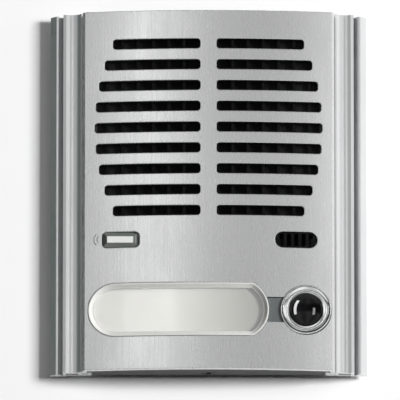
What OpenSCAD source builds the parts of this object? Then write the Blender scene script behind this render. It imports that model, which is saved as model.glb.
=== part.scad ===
// Door intercom module: a bowed face plate between two fluted rails, with a speaker grille, a status
// window, a microphone opening, a lit name window and one domed push button. The speaker, the circuit
// board and the terminals sit behind the face, in a housing that goes into the wall.
// X is to the right, Z is up, the front faces -Y and the wall is the plane y = 0. Depths named d are
// measured forward from the wall, so a piece inside the wall has a negative d. Sizes in millimetres.

/* [Panel] */
// Overall width
panel_w = 130; // [117:1:143]
// Overall height
panel_h = 152; // [137:1:167]
// Depth of the crown of the face in front of the wall
front_d = 14; // [13.8:0.2:16]
// Rise of the bowed face over the width of the plate
bow_rise = 3.854; // [2.2:0.002:3.9]
// Thickness of the face plate
plate_t = 2; // [1.6:0.1:2.1]
// Width of the bevel along the long edges of the plate
edge_bevel_w = 1; // [0.4:0.1:1.2]
// Depth of that bevel
edge_bevel_d = 1.3; // [0.4:0.1:1.5]
// Thickness of the turned-down legs of the plate
leg_t = 2; // [1.6:0.1:2.2]
// Clearance between pieces that drop into each other
fit_gap = 0.2; // [0.12:0.02:0.24]

/* [Rails] */
// Width of a side rail
rail_w = 13; // [12.6:0.2:14]
// Radius of the cove
cove_r = 4.8; // [4.6:0.1:5.2]
// Distance from the inner edge of the rail to the axis of the cove
cove_in = 4.3; // [4.1:0.1:4.4]
// Depth of the axis of the cove
cove_axis_d = 10.4; // [10.2:0.1:10.8]
// Distance from the axis of the cove to the start of the crest
crest_in = 2.3; // [2:0.1:2.6]
// Width of the crest
crest_w = 1.2; // [0.9:0.1:1.4]
// Fall of the crest towards the outer edge
crest_fall = 0.4; // [0.2:0.05:0.6]
// Radius of the rounded bead along the outer edge
bead_r = 1; // [0.8:0.1:1.2]
// Distance from the outer edge to the axis of the bead
bead_in = 2.8; // [2.6:0.1:3.2]
// Depth of the top of the bead
bead_d = 3.4; // [3.2:0.1:3.6]
// Slope of the outer flank of the bead, in degrees
flank_slope = 42; // [40:1:48]
// Slope of the inner flank of the bead, in degrees
gutter_slope = 50; // [46:1:56]
// Depth of the foot of the inner flank of the bead
dale_d = 1; // [0.8:0.05:1.2]
// Wall of the hollow extrusion
rail_wall = 1.4; // [1.1:0.1:1.5]
// Width of the foot that stands on the wall
foot_w = 6.6; // [6.4:0.1:6.8]
// Thickness of the inner upstand
upstand_t = 1.6; // [1.4:0.1:1.8]
// Height of the inner upstand
upstand_d = 6.6; // [6.2:0.1:6.8]
// Depth of the floor of the groove
groove_d = 4; // [3.8:0.1:4.4]
// Distance of the end rail screws from the middle of the panel
rail_screw_z = 58; // [40:1:66]
// Depth of the rail screws
rail_screw_d = 3.2; // [3.16:0.02:3.24]
// Radius of the shank of a rail screw
rail_screw_r = 0.95; // [0.8:0.05:1]
// Radius of the head of a rail screw
rail_head_r = 1.65; // [1.5:0.05:1.7]
// Height of the sunk head of a rail screw
rail_head_t = 0.9; // [0.7:0.1:1.1]

/* [Grille] */
// Rows of slots
slot_rows = 9; // [7:2:9]
// Height of a slot
slot_h = 4.2; // [3:0.1:5]
// Corner radius of a slot
slot_corner_r = 1.3; // [0.6:0.1:1.5]
// Web between the two columns of slots
grille_web = 6.7; // [5:0.1:10]
// Margin from the edge of the plate to the longest slot
grille_margin = 5; // [4.8:0.1:8]
// Radius of the arc that the slot ends follow
grille_end_r = 87; // [60:1:120]
// Margin from the top of the panel to the grille
grille_top = 12.1; // [11.6:0.1:14]
// Pitch of the ribs of the guard
rib_pitch = 6.3; // [5.6:0.1:7.2]
// Thickness of a rib
rib_t = 1.2; // [0.8:0.1:1.6]
// Distance from the middle to the first rib
rib_first = 3.7; // [3:0.1:4]
// Edge of the guard beyond the outermost row
guard_edge = 3; // [2:0.1:3.5]
// Thickness of the dust cloth
cloth_t = 0.3; // [0.2:0.1:0.5]

/* [Windows] */
// Margin from the edge of the plate to the middle of the two small windows
small_margin = 15.8; // [15.3:0.1:17.8]
// Height of the small windows above the name window
small_rise = 29.6; // [28.5:0.1:31]
// Height of the grille above the middle of the small windows
grille_gap = 10.1; // [9:0.1:11.5]
// Width of the status window
status_w = 15.4; // [12:0.1:16]
// Height of the status window
status_h = 6.7; // [6:0.1:8]
// Corner radius of the status window
status_corner_r = 2; // [1:0.1:2.5]
// Height of the flat front of the status lens
status_flat_h = 2.8; // [2:0.1:4]
// Fall of the bevels of the status lens
status_fall = 1.2; // [0.6:0.1:1.4]
// Stand of the status lens in front of the plate
status_proud = 0.4; // [0.1:0.1:0.8]
// Width of the light pipe
pipe_w = 6; // [4:0.1:8]
// Height of the light pipe
pipe_h = 3; // [2:0.1:4]
// Width of the microphone opening
mic_w = 17.3; // [14:0.1:18]
// Height of the microphone opening
mic_h = 6.8; // [6:0.1:8]
// Pitch of the slits of the microphone insert
slit_pitch = 3; // [2.4:0.1:3.2]
// Width of a slit
slit_w = 1.7; // [1.2:0.1:1.9]
// Setback of the microphone insert
mic_setback = 0.5; // [0.2:0.1:1]
// Thickness of the flanges behind the plate
flange_t = 1; // [0.8:0.1:1.2]
// Overlap of the flanges
flange_lap = 1.2; // [0.8:0.1:1.4]
// Clearance of the inserts in the plate
insert_gap = 0.15; // [0.1:0.01:0.2]
// Radius of the microphone capsule
capsule_r = 4.85; // [4:0.05:4.85]
// Length of the microphone capsule
capsule_l = 5.4; // [4:0.1:5.6]
// Wall of the rubber boot
boot_wall = 1; // [0.8:0.1:1.1]
// Radius of a microphone lead
mic_lead_r = 0.4; // [0.3:0.05:0.5]
// Spacing of the microphone leads
mic_lead_pitch = 2.5; // [2:0.1:4]

/* [Name window] */
// Distance from the bottom of the panel to the middle of the name window
name_rise = 25.2; // [24.8:0.1:26]
// Height of the name window
name_h = 22.6; // [20:0.1:23]
// Margin from the edge of the plate to the name window
name_margin = 2.2; // [2.2:0.1:4]
// Distance from the right end of the name window to the axis of the button
name_gap = 15.1; // [14.8:0.1:18]
// Radius of the right end of the name window
name_end_r = 13; // [12.2:0.1:16]
// Width of the dished border of the window
name_border = 2.2; // [1.4:0.1:2.8]
// Depth of the dish
name_dish = 1.2; // [0.8:0.1:1.4]
// Setback of the window from the plate
name_setback = 0.1; // [0.05:0.05:0.3]
// Thickness of the name card
card_t = 0.35; // [0.2:0.05:0.5]
// Margin of the card inside the window
card_margin = 0.6; // [0.4:0.1:1]
// Height of the strip between the name window and the button
link_h = 10.6; // [8:0.1:11]
// Setback of that strip
link_setback = 1.5; // [0.8:0.1:2]
// Spacing of the label lamps
lamp_pitch = 20; // [16:0.5:22]
// Width of a label lamp
lamp_w = 3.5; // [3:0.1:4]
// Height of a label lamp
lamp_t = 1.9; // [1.2:0.1:2.4]

/* [Button] */
// Margin from the edge of the plate to the axis of the button
button_margin = 11.8; // [11.6:0.1:12.6]
// Outer radius of the ring
ring_r = 10.3; // [9.8:0.1:10.4]
// Depth of the rim of the ring
rim_d = 12.75; // [12.5:0.05:13.5]
// Bevel of the rim
rim_bevel = 0.25; // [0.15:0.05:0.25]
// Radius of the dish of the ring
dish_r = 2.4; // [2.35:0.05:2.6]
// Distance of the dish axis from the button axis
dish_at = 8.1; // [8.05:0.05:8.2]
// Height of the dish axis above the rim
dish_up = 1.55; // [1.5:0.05:1.7]
// Radius of the button
cap_r = 7.02; // [6.6:0.02:7.02]
// Height of the dome
dome_h = 3.9; // [2.5:0.1:4.5]
// Depth of the foot of the dome
dome_d = 12; // [11.8:0.1:12.4]
// Length of the skirt
skirt_l = 2.6; // [2:0.1:2.8]
// Wall of the skirt
skirt_wall = 1.4; // [1:0.1:1.6]
// Radius of the stem
stem_r = 1.6; // [1.5:0.05:1.7]
// Running clearance of the sliding pieces
run_gap = 0.08; // [0.04:0.01:0.1]
// Travel of the button
press = 2; // [1:0.1:2]
// Radius of the retaining clip
clip_r = 3; // [2.7:0.1:3.1]
// Thickness of the retaining clip
clip_t = 0.6; // [0.4:0.1:0.8]
// Depth of the groove for the clip
clip_groove = 0.4; // [0.3:0.05:0.5]
// Mean radius of the return spring
spring_r = 4; // [3.4:0.1:4.4]
// Radius of the spring wire
spring_wire_r = 0.35; // [0.25:0.05:0.4]
// Turns of the spring
spring_turns = 3.5; // [3:0.5:4]
// Radius of the pegs of the ring
peg_r = 1; // [0.8:0.1:1.1]
// Distance of the pegs from the axis
peg_at = 8.7; // [8.5:0.1:8.9]
// Width of the switch
switch_w = 6; // [5:0.1:6.2]
// Height of the switch
switch_t = 3; // [2.8:0.1:3.2]
// Radius of the plunger
plunger_r = 1.5; // [1:0.05:1.6]
// Play between the stem and the plunger
touch_gap = 0.1; // [0.05:0.01:0.15]

/* [Frame] */
// Setback of the frame from the ends of the plate
frame_setback = 0.2; // [0.1:0.1:1]
// Thickness of the side walls
ring_t = 2; // [1.8:0.1:2.1]
// Thickness of the end walls
end_wall_t = 2.4; // [2:0.1:2.6]
// Depth of the back of the deck
deck_back = 5; // [4.98:0.01:5.1]
// Thickness of the deck
deck_t = 2; // [1.8:0.1:2.1]
// Margin from the edge of the plate to the studs
stud_margin = 13.8; // [10:0.1:15.8]
// Distance of the plate studs from the ends of the panel
stud_in = 6.5; // [6.4:0.1:6.8]
// Radius of a stud
stud_r = 1.5; // [1.25:0.05:1.5]
// Radius of a nut over its corners
nut_r = 3; // [2.8:0.05:3.1]
// Thickness of a nut
nut_t = 2.2; // [1.8:0.1:2.4]

/* [Speaker] */
// Outer radius of the basket as a share of the height of the grille
basket_share = 0.4134; // [0.394:0.001:0.42]
// Width of the flange of the basket
basket_flange = 5.8; // [5.6:0.1:7]
// Thickness of the basket flange
basket_t = 1; // [0.8:0.1:1.2]
// Thickness of the gasket
gasket_t = 0.6; // [0.4:0.1:0.8]
// Depth of the basket behind its flange
basket_l = 9; // [8:0.1:9.4]
// Width of the surround
surround_w = 4.2; // [3.8:0.1:6]
// Depth of the cone
cone_l = 5.6; // [4.6:0.1:5.8]
// Thickness of the cone paper
cone_t = 0.5; // [0.4:0.05:0.6]
// Thickness of the surround
surround_t = 0.4; // [0.3:0.05:0.5]
// Radius of the voice coil former
coil_r = 6.5; // [5.5:0.1:6.6]
// Length of the voice coil former
coil_l = 6; // [5:0.1:6.2]
// Thickness of the winding
winding_t = 0.35; // [0.25:0.05:0.4]
// Air gap on each side of the coil
air_gap = 0.35; // [0.3:0.01:0.4]
// Radius of the magnet
magnet_r = 14; // [13:0.1:15]
// Length of the magnet
magnet_l = 5; // [4:0.1:5.2]
// Thickness of the iron plates
iron_t = 2; // [1.5:0.1:2.1]
// Distance from the edge of the basket to the speaker screws
speaker_screw_in = 2.6; // [2.4:0.1:3]
// Radius of a speaker screw
speaker_screw_r = 1.1; // [0.9:0.05:1.2]
// Radius of a speaker lead
speaker_lead_r = 0.6; // [0.4:0.05:0.7]

/* [Board] */
// Depth of the front of the board behind the wall plane
board_d = 2; // [2:0.05:2.2]
// Thickness of the board
board_t = 1.6; // [1.4:0.1:1.7]
// Distance from the edges of the board to the upper posts
post_in = 3.5; // [3.3:0.1:4]
// Radius of a board post
post_r = 2.6; // [2.2:0.1:2.8]
// Radius of a board screw
board_screw_r = 1; // [0.8:0.05:1.1]
// Number of terminals
terminals = 6; // [4:1:7]
// Pitch of the terminals
terminal_pitch = 5.08; // [4.8:0.02:5.2]
// Height of the terminal block off the board
terminal_t = 11; // [9:0.1:11.6]
// Width of the terminal block
terminal_w = 11; // [10:0.1:12]
// Distance of the terminal block above the bottom of the housing
terminal_up = 13.5; // [12:0.1:14]
// Radius of a terminal screw
terminal_screw_r = 2.1; // [1.6:0.05:2.2]
// Size of a trimmer
trimmer_w = 9; // [8:0.1:10]
// Height of a trimmer off the board
trimmer_t = 5; // [4.4:0.1:6]
// Radius of a trimmer shaft
shaft_r = 2.5; // [2:0.05:2.6]
// Radius of the holes over the trimmers
shaft_hole_r = 3.1; // [2.95:0.05:3.6]
// Distance between the trimmers
trimmer_pitch = 15; // [12:0.5:17]
// Distance from the edge of the board to the middle of the trimmers
trimmer_in = 21; // [19:0.5:24]
// Distance from the top of the board to the trimmers
trimmer_drop = 11; // [10.6:0.1:12]
// Radius of a capacitor
can_r = 4; // [3:0.1:4.4]
// Length of a capacitor
can_l = 11; // [8:0.1:12]
// Distance between the capacitors
can_pitch = 10; // [9.2:0.1:10.5]
// Distance from the edge of the board to the capacitors
can_in = 11; // [7:0.1:12]
// Distance from the edge of the board to the audio chip
chip_in = 15; // [13:0.1:20]

/* [Housing] */
// Depth of the housing behind the wall plane
house_d = 18; // [17.8:0.1:20]
// Wall of the housing
house_wall = 1.6; // [1.4:0.1:1.7]
// Distance from the ends of the panel to the housing
house_in = 13.5; // [13.2:0.1:13.8]
// Corner radius of the housing
house_corner_r = 5; // [4.5:0.1:6]
// Distance of the cover screws from the sides of the housing
boss_in = 5.5; // [5.4:0.1:5.7]
// Distance of the cover screws from the ends of the housing
boss_up = 4; // [3.9:0.1:4.2]
// Radius of a screw boss
boss_r = 3.5; // [3.4:0.05:3.6]
// Radius of a cover screw
cover_screw_r = 1.5; // [1.25:0.05:1.5]
// Radius of the head of a cover screw
cover_head_r = 2.6; // [2.3:0.1:2.7]
// Width of the blank label on the back
label_w = 44; // [30:0.5:60]
// Height of the label
label_h = 11; // [8:0.1:12]
// Thickness of the label
label_t = 0.2; // [0.1:0.05:0.3]
// Depth of the recess of the label
label_recess = 0.4; // [0.3:0.05:0.5]
// Number of vent slots behind the speaker
vents = 7; // [3:2:7]
// Pitch of the vent slots
vent_pitch = 6; // [5:0.1:6.5]
// Height of a vent slot
vent_h = 2; // [1.5:0.1:3]

/* [Wall plate] */
// Thickness of the wall plate
wall_t = 1.2; // [1:0.05:1.3]
// Distance from the ends of the panel to the wall plate
wall_in = 5; // [4:0.1:5]
// Spacing of the wall holes across
hole_dx = 60; // [54:0.5:60]
// Distance of the wall holes from the ends of the wall plate
hole_in = 4; // [3.8:0.1:4.1]
// Radius of a wall hole
hole_r = 2.25; // [1.75:0.05:2.3]
// Distance of the hooks from the middle
hook_x = 12; // [10:0.5:16]
// Width of a hook
hook_w = 10; // [6:0.5:11]
// Reach of the lip of a hook
hook_up = 2.8; // [2:0.1:3]
// Thickness of the lip of a hook
lip_t = 1; // [0.8:0.1:1.1]
// Depth of the security screw
lock_d = 4.5; // [4.3:0.1:4.8]
// Radius of the security screw
lock_r = 1.5; // [1.25:0.05:1.5]
// Radius of the head of the security screw
lock_head_r = 2.7; // [2.4:0.1:2.7]
// Height of the head of the security screw
lock_head_t = 1.7; // [1.4:0.1:1.8]

/* [Hidden] */
$fn = 64;
bow_fn = 720;
slack = 1;
arc_n = 20;
corner_n = 5;
tiny = 0.05;

rail_in = panel_w / 2 - rail_w;
plate_w = 2 * (rail_in - fit_gap);
bow_r = (pow(plate_w / 2, 2) + pow(bow_rise, 2)) / (2 * bow_rise);
leg_in = plate_w / 2 - leg_t;
leg_end_d = groove_d + fit_gap;
groove_in = leg_in - fit_gap;
upstand_in = groove_in - upstand_t;
frame_x = upstand_in - fit_gap;
frame_z = panel_h / 2 - frame_setback;
inner_x = frame_x - ring_t;
inner_z = frame_z - end_wall_t;
deck_front = deck_back + deck_t;
frame_back = wall_t + fit_gap;

cove_x = rail_in + cove_in;
crest_d = cove_axis_d - sqrt(pow(cove_r, 2) - pow(crest_in, 2));
crest_x = cove_x + crest_in;
crest_out = crest_x + crest_w;
bead_x = panel_w / 2 - bead_in;
bead_axis_d = bead_d - bead_r;
flank_x = bead_x + bead_r * sin(flank_slope);
flank_d = bead_axis_d + bead_r * cos(flank_slope);
flank_end_d = max(fit_gap, flank_d - (panel_w / 2 - flank_x) * tan(flank_slope));
gutter_x = bead_x - bead_r * sin(gutter_slope);
gutter_d = bead_axis_d + bead_r * cos(gutter_slope);
gutter_in = gutter_x - (gutter_d - dale_d) / tan(gutter_slope);
foot_in = panel_w / 2 - foot_w;
rail_screw_tip = groove_in - tiny;

grille_x = plate_w / 2 - grille_margin;
grille_rise = name_rise + small_rise + grille_gap;
grille_h = panel_h - grille_top - grille_rise;
grille_z = (grille_rise - grille_top) / 2;
slot_pitch = (grille_h - slot_h) / (slot_rows - 1);
row_mid = (slot_rows - 1) / 2;
guard_x = inner_x - fit_gap;
guard_z = grille_h / 2 + guard_edge;
guard_in = plate_t + 2.5 * fit_gap;

button_x = plate_w / 2 - button_margin;
name_z = name_rise - panel_h / 2;
name_start = name_margin - plate_w / 2;
name_end = button_x - name_gap;
small_x = plate_w / 2 - small_margin;
small_z = name_z + small_rise;
mic_at = [small_x, small_z];
capsule_d = deck_front - fit_gap - capsule_l;
flange_in = plate_t + fit_gap;
flange_back = flange_in + flange_t;
card_in = flange_back + tiny;
card_tuck = name_h / 2 + flange_lap;
guide_in = card_in + card_t + tiny;
guide_start = name_start + 2 * name_border + 3 * card_margin;
guide_end = name_end - name_border - card_margin;
guide_z = name_h / 2 - 2 * card_margin;
lamp_window_z = guide_z / 2;

button_at = [button_x, name_z];
pegs = [for (a = [90, 225]) button_at + peg_at * [cos(a), sin(a)]];
bore_r = cap_r + run_gap;
dome_r = (pow(cap_r, 2) + pow(dome_h, 2)) / (2 * dome_h);
hollow_r = cap_r - skirt_wall;
hollow_d = dome_d - skirt_wall / 8;
clip_d = deck_back - tiny;
stem_end = clip_d - clip_t - clip_groove;
plunger_end = stem_end - touch_gap;
switch_d = switch_t - board_d;
plunger_foot = switch_d - clip_t;
link_d = bow_depth(name_end, link_setback);

stud_x = plate_w / 2 - stud_margin;

basket_r = basket_share * grille_h;
mouth_r = basket_r - basket_flange;
cone_r = mouth_r - surround_w;
speaker_screw_at = basket_r - speaker_screw_in;
gasket_d = deck_back - gasket_t;
flange_d = gasket_d - basket_t;
basket_d = flange_d - basket_l;
basket_foot_r = magnet_r + 1.5;
top_plate_d = basket_d - iron_t;
magnet_d = top_plate_d - magnet_l;
yoke_d = magnet_d - iron_t;
cone_d = flange_d + cone_t;
neck_d = cone_d - cone_l;
gap_r = coil_r + winding_t + air_gap;
pole_r = coil_r - 2 * cone_t - air_gap / 2;
former_r = coil_r - cone_t / 2;
roll_r = (mouth_r - cone_r) / 2 - tiny;
roll_at = (mouth_r + cone_r) / 2;
cap_ball_r = coil_r * 1.2;
tag_z = grille_z - basket_foot_r - 3 * basket_t;
speaker_head_r = 2 * speaker_screw_r;

house_x = inner_x - 4 * fit_gap;
house_z = panel_h / 2 - house_in;
house_front = deck_back - fit_gap / 2;
boss_x = house_x - boss_in;
boss_z = house_z - boss_up;
seat_d = -1;
board_x = house_x - house_wall - 2 * fit_gap;
board_back = -board_d - board_t;
board_top = grille_z - basket_r - 3;
board_bottom = house_wall - house_z + 2 * fit_gap;
board_notch_x = boss_x - boss_r - 3 * fit_gap;
board_notch_z = boss_r - boss_z + 3 * fit_gap;
post_x = board_x - post_in;
post_z = board_top - post_in;
low_post_x = board_notch_x - 2 * post_r;
low_post_z = board_bottom + post_r + fit_gap;
posts = [[-post_x, post_z], [post_x, post_z], [-low_post_x, low_post_z], [low_post_x - post_r, low_post_z]];
screw_head_t = 1.6;
terminal_z = terminal_up - house_z;
terminal_x = terminals * terminal_pitch / 2 + tiny;
terminal_back = board_back - terminal_t;
well_t = 3;
screw_up = 0.6 * terminal_w;
trimmer_z = board_top - trimmer_drop;
trimmer_x = trimmer_in - board_x;
trimmers = [[trimmer_x - trimmer_pitch / 2, trimmer_z], [trimmer_x + trimmer_pitch / 2, trimmer_z]];
trimmer_back = board_back - trimmer_t;
shaft_in = 2.6;
shaft_end = 0.6 - house_d;
driver_w = 0.9;
driver_t = 1.2;
label_x = 5;
label_z = trimmer_z + shaft_hole_r + label_h / 2 + 2;

wall_x = foot_in - 2 * fit_gap;
wall_z = panel_h / 2 - wall_in;
open_x = house_x + 1;
open_z = house_z + 0.7;
hole_z = wall_z - hole_in;
lip_d = deck_back - 2 * fit_gap;
lug_d = lip_d - lip_t - fit_gap;
hook_z = open_z + wall_t;
lug_z = hook_z + fit_gap;
lug_top = hook_z + hook_up + 2;
lock_tab_d = lock_d + 3.2;
lock_tab_x = 7;
lock_tab_t = 1.6;
lock_top = fit_gap / 2 - open_z;
lock_boss_t = 2;
socket_r = 1.3;

// Which sub-part is built

// Depth of the surface that lies the given inset behind the bowed face, at x
function bow_depth(x, inset) = front_d - bow_r + sqrt(pow(bow_r - inset, 2) - pow(x, 2));

// Points of an arc from angle a to angle b
function arc(cx, cz, r, a, b, n) = [
  for (i = [0:n]) let (t = a + (b - a) * i / n) [cx + r * cos(t), cz + r * sin(t)]
];

// Outline of a rectangle with round corners
function rounded(x0, x1, z0, z1, r, n) = concat(
  arc(x1 - r, z1 - r, r, 0, 90, n),
  arc(x0 + r, z1 - r, r, 90, 180, n),
  arc(x0 + r, z0 + r, r, 180, 270, n),
  arc(x1 - r, z0 + r, r, 270, 360, n)
);

// Outline of the name window, drawn in by g
function name_outline(g) = let (
  h = name_h / 2,
  a = asin((h - g) / (name_end_r - g))
) concat(
  arc(name_start + h, name_z, h - g, 90, 270, arc_n),
  arc(name_end - name_end_r, name_z, name_end_r - g, -a, a, arc_n)
);

// Outline of the status window or of the microphone opening, drawn in by g
function status_outline(g) = rounded(
  -small_x - status_w / 2 + g, -small_x + status_w / 2 - g,
  small_z - status_h / 2 + g, small_z + status_h / 2 - g,
  status_corner_r - g, corner_n
);
function mic_outline(g) = rounded(
  small_x - mic_w / 2 + g, small_x + mic_w / 2 - g,
  small_z - mic_h / 2 + g, small_z + mic_h / 2 - g,
  mic_h / 2 - g - tiny, corner_n * 2
);

// Outer end of a slot that lies dz from the middle row
function slot_end(dz) = grille_x - grille_end_r + sqrt(pow(grille_end_r, 2) - pow(dz, 2));

// Extrudes an outline drawn in x and z from depth a forward to depth b
module ahead(a, b) {
  translate([0, -a, 0])
    rotate([90, 0, 0])
      linear_extrude(b - a)
        children();
}

// Extrudes a section drawn in x and y over the height h
module upright(h) {
  translate([0, 0, -h / 2])
    linear_extrude(h)
      children();
}

// Cylinder along the depth, from depth a forward to depth b
module rod(p, r, a, b) {
  translate([p[0], -a, p[1]])
    rotate([90, 0, 0])
      cylinder(r = r, h = b - a);
}

// Turned piece about an axis along the depth, its profile drawn in radius and depth
module turned(p) {
  translate([p[0], 0, p[1]])
    rotate([90, 0, 0])
      rotate_extrude()
        children();
}

// Box between two corners, the last pair being depths
module block(x0, x1, z0, z1, a, b) {
  translate([x0, -b, z0])
    cube([x1 - x0, b - a, z1 - z0]);
}

// Box about the middle of the panel
module slab(x, z, a, b) {
  block(-x, x, -z, z, a, b);
}

// Section of the space behind the bowed surface
module bow(inset) {
  translate([0, bow_r - front_d])
    circle(r = bow_r - inset, $fn = bow_fn);
}

// Bowed shell between two insets
module shell(a, b) {
  upright(panel_h)
    difference() {
      bow(a);
      bow(b);
    }
}

// Repeats its children on the left side
module both_sides() {
  children();
  mirror([1, 0, 0])
    children();
}

module edge_bevel() {
  bevel_x = plate_w / 2 - edge_bevel_w;
  out_x = plate_w / 2 + slack;
  low = edge_bevel_d - bow_depth(plate_w / 2, 0);
  high = -front_d - slack;
  polygon([
    [bevel_x, -bow_depth(bevel_x, 0)], [plate_w / 2, low], [out_x, low], [out_x, high], [bevel_x, high]
  ]);
}

module plate_section() {
  difference() {
    intersection() {
      bow(0);
      translate([-plate_w / 2, -front_d - slack])
        square([plate_w, front_d + slack - leg_end_d]);
    }
    intersection() {
      bow(plate_t);
      translate([-leg_in, -front_d])
        square([2 * leg_in, front_d]);
    }
    edge_bevel();
    mirror([1, 0])
      edge_bevel();
  }
}

module slots() {
  for (k = [-row_mid:row_mid]) {
    dz = k * slot_pitch;
    z = grille_z + dz;
    polygon(rounded(grille_web / 2, slot_end(dz), z - slot_h / 2, z + slot_h / 2, slot_corner_r, corner_n));
  }
}

module face_plate() {
  color([0.72, 0.73, 0.74])
    difference() {
      upright(panel_h)
        plate_section();
      ahead(deck_front, front_d + slack) {
        slots();
        mirror([1, 0])
          slots();
      }
      ahead(deck_front, front_d + slack)
        polygon(status_outline(0));
      ahead(deck_front, front_d + slack)
        polygon(mic_outline(0));
      ahead(upstand_d, front_d + slack)
        polygon(name_outline(0));
      block(
        name_end - name_end_r, button_x,
        name_z - link_h / 2, name_z + link_h / 2,
        deck_front, front_d + slack
      );
      rod(button_at, ring_r + insert_gap, deck_front, front_d + slack);
    }
}

module bead_section() {
  polygon([
    [gutter_in, 0], [gutter_in, -dale_d], [gutter_x, -gutter_d],
    [flank_x, -flank_d], [panel_w / 2, -flank_end_d], [panel_w / 2, 0]
  ]);
  translate([bead_x, -bead_axis_d])
    circle(r = bead_r);
}

module rail_section() {
  difference() {
    polygon([
      [upstand_in, -frame_back], [upstand_in, -upstand_d], [groove_in, -upstand_d],
      [groove_in, -groove_d], [rail_in, -groove_d], [rail_in, -cove_axis_d + 1],
      [crest_out, -cove_axis_d + 1], [crest_out, -bead_d - slack], [panel_w / 2, -bead_d - slack],
      [panel_w / 2, 0], [foot_in, 0], [foot_in, -frame_back]
    ]);
    translate([cove_x, -cove_axis_d])
      circle(r = cove_r);
    polygon([
      [crest_x, -cove_axis_d], [crest_out + crest_w, -cove_axis_d],
      [crest_out + crest_w, 2 * crest_fall - crest_d], [crest_x, -crest_d]
    ]);
    difference() {
      translate([crest_out, -bead_d - 2 * slack])
        square([rail_w, bead_d + 2 * slack]);
      translate([crest_out - slack, -dale_d])
        square([bead_x - crest_out + slack, dale_d]);
      bead_section();
    }
    difference() {
      translate([rail_in + rail_wall, -crest_d + rail_wall])
        square([crest_out - rail_in - 2 * rail_wall, crest_d - frame_back - 2 * rail_wall]);
      translate([cove_x, -cove_axis_d])
        circle(r = cove_r + rail_wall);
    }
  }
}

module across(x0, x1, z, r0, r1) {
  translate([x0, -rail_screw_d, z])
    rotate([0, 90, 0])
      cylinder(r1 = r0, r2 = r1, h = x1 - x0);
}

module rail() {
  difference() {
    upright(panel_h)
      rail_section();
    for (z = [-rail_screw_z, 0, rail_screw_z])
      across(upstand_in - slack, rail_screw_tip + slack, z, rail_screw_r + tiny, rail_screw_r + tiny);
  }
}

module left_rail() {
  color([0.76, 0.77, 0.78])
    mirror([1, 0, 0])
      rail();
}

module right_rail() {
  color([0.76, 0.77, 0.78])
    rail();
}

module rail_screws() {
  color([0.55, 0.56, 0.58])
    both_sides()
      for (z = [-rail_screw_z, 0, rail_screw_z]) {
        across(inner_x + tiny, inner_x + rail_head_t, z, rail_head_r, rail_screw_r);
        across(inner_x + rail_head_t / 2, rail_screw_tip, z, rail_screw_r, rail_screw_r);
      }
}

module at_studs() {
  for (x = [-stud_x, stud_x], z = [stud_in - panel_h / 2, panel_h / 2 - stud_in])
    translate([x, 0, z])
      children();
}

module plate_studs() {
  color([0.6, 0.61, 0.62])
    intersection() {
      at_studs()
        rod([0, 0], stud_r, deck_back - nut_t - fit_gap, front_d);
      upright(panel_h)
        bow(plate_t);
    }
}

module stud_nuts() {
  color([0.62, 0.6, 0.55])
    at_studs()
      difference() {
        translate([0, -deck_back + nut_t, 0])
          rotate([90, 0, 0])
            cylinder(r = nut_r, h = nut_t, $fn = 6);
        rod([0, 0], stud_r + tiny, 0, deck_back + slack);
      }
}

module frame_shell() {
  difference() {
    intersection() {
      upright(2 * frame_z)
        bow(flange_in);
      slab(frame_x, frame_z, frame_back, front_d);
    }
    slab(inner_x, inner_z, deck_front, front_d + slack);
    slab(inner_x, inner_z, 0, deck_back);
  }
}

module frame_lugs() {
  for (x = [-hook_x, hook_x]) {
    block(x - hook_w / 2, x + hook_w / 2, lug_z + hook_up, lug_top, frame_back, deck_back + tiny);
    block(x - hook_w / 2, x + hook_w / 2, lug_z, lug_top, frame_back, lug_d);
  }
}

module lock_hole(r, z0, z1) {
  translate([0, -lock_d, z0])
    cylinder(r = r, h = z1 - z0);
}

module deck_holes() {
  rod([0, grille_z], mouth_r + fit_gap, 0, front_d);
  at_speaker_screws()
    rod([0, 0], speaker_screw_r + tiny, 0, front_d);
  block(
    -small_x - pipe_w / 2 - fit_gap, -small_x + pipe_w / 2 + fit_gap,
    small_z - pipe_h / 2 - fit_gap, small_z + pipe_h / 2 + fit_gap,
    0, front_d
  );
  rod(mic_at, capsule_r + boot_wall + fit_gap, 0, front_d);
  block(
    guide_start + name_border, guide_end - name_border,
    name_z - lamp_window_z, name_z + lamp_window_z,
    0, front_d
  );
  rod(button_at, stem_r + run_gap, 0, front_d);
  for (p = pegs)
    rod(p, peg_r + tiny, 0, front_d);
  at_studs()
    rod([0, 0], stud_r + fit_gap / 2, 0, deck_front + slack);
  at_bosses()
    rod([0, 0], cover_screw_r + tiny, 0, front_d);
  rod(button_at, ring_r + insert_gap, deck_front, front_d);
  ahead(deck_front, front_d)
    polygon(name_outline(0));
  block(
    -lock_tab_x - 1, lock_tab_x + 1,
    -inner_z, -open_z + 2 * fit_gap,
    0, front_d - plate_t - flange_back
  );
}

module chassis_frame() {
  color([0.07, 0.07, 0.075])
    difference() {
      union() {
        difference() {
          frame_shell();
          deck_holes();
        }
        frame_lugs();
        for (p = posts)
          rod(p, post_r, -board_d, deck_back + tiny);
        block(
          -lock_boss_t * 2, lock_boss_t * 2,
          -inner_z - tiny, lock_boss_t - inner_z,
          frame_back, deck_front
        );
      }
      for (p = posts)
        rod(p, board_screw_r + tiny, -board_d - slack, deck_back);
      lock_hole(lock_r + fit_gap, -frame_z - slack, lock_boss_t - inner_z + slack);
      lock_hole(lock_head_r + fit_gap, -frame_z - slack, lock_head_t - frame_z);
      both_sides()
        for (z = [-rail_screw_z, 0, rail_screw_z]) {
          across(inner_x - slack, frame_x + slack, z, rail_screw_r + tiny, rail_screw_r + tiny);
          across(inner_x, inner_x + rail_head_t + tiny, z, rail_head_r + tiny, rail_screw_r + tiny);
        }
    }
}

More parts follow.
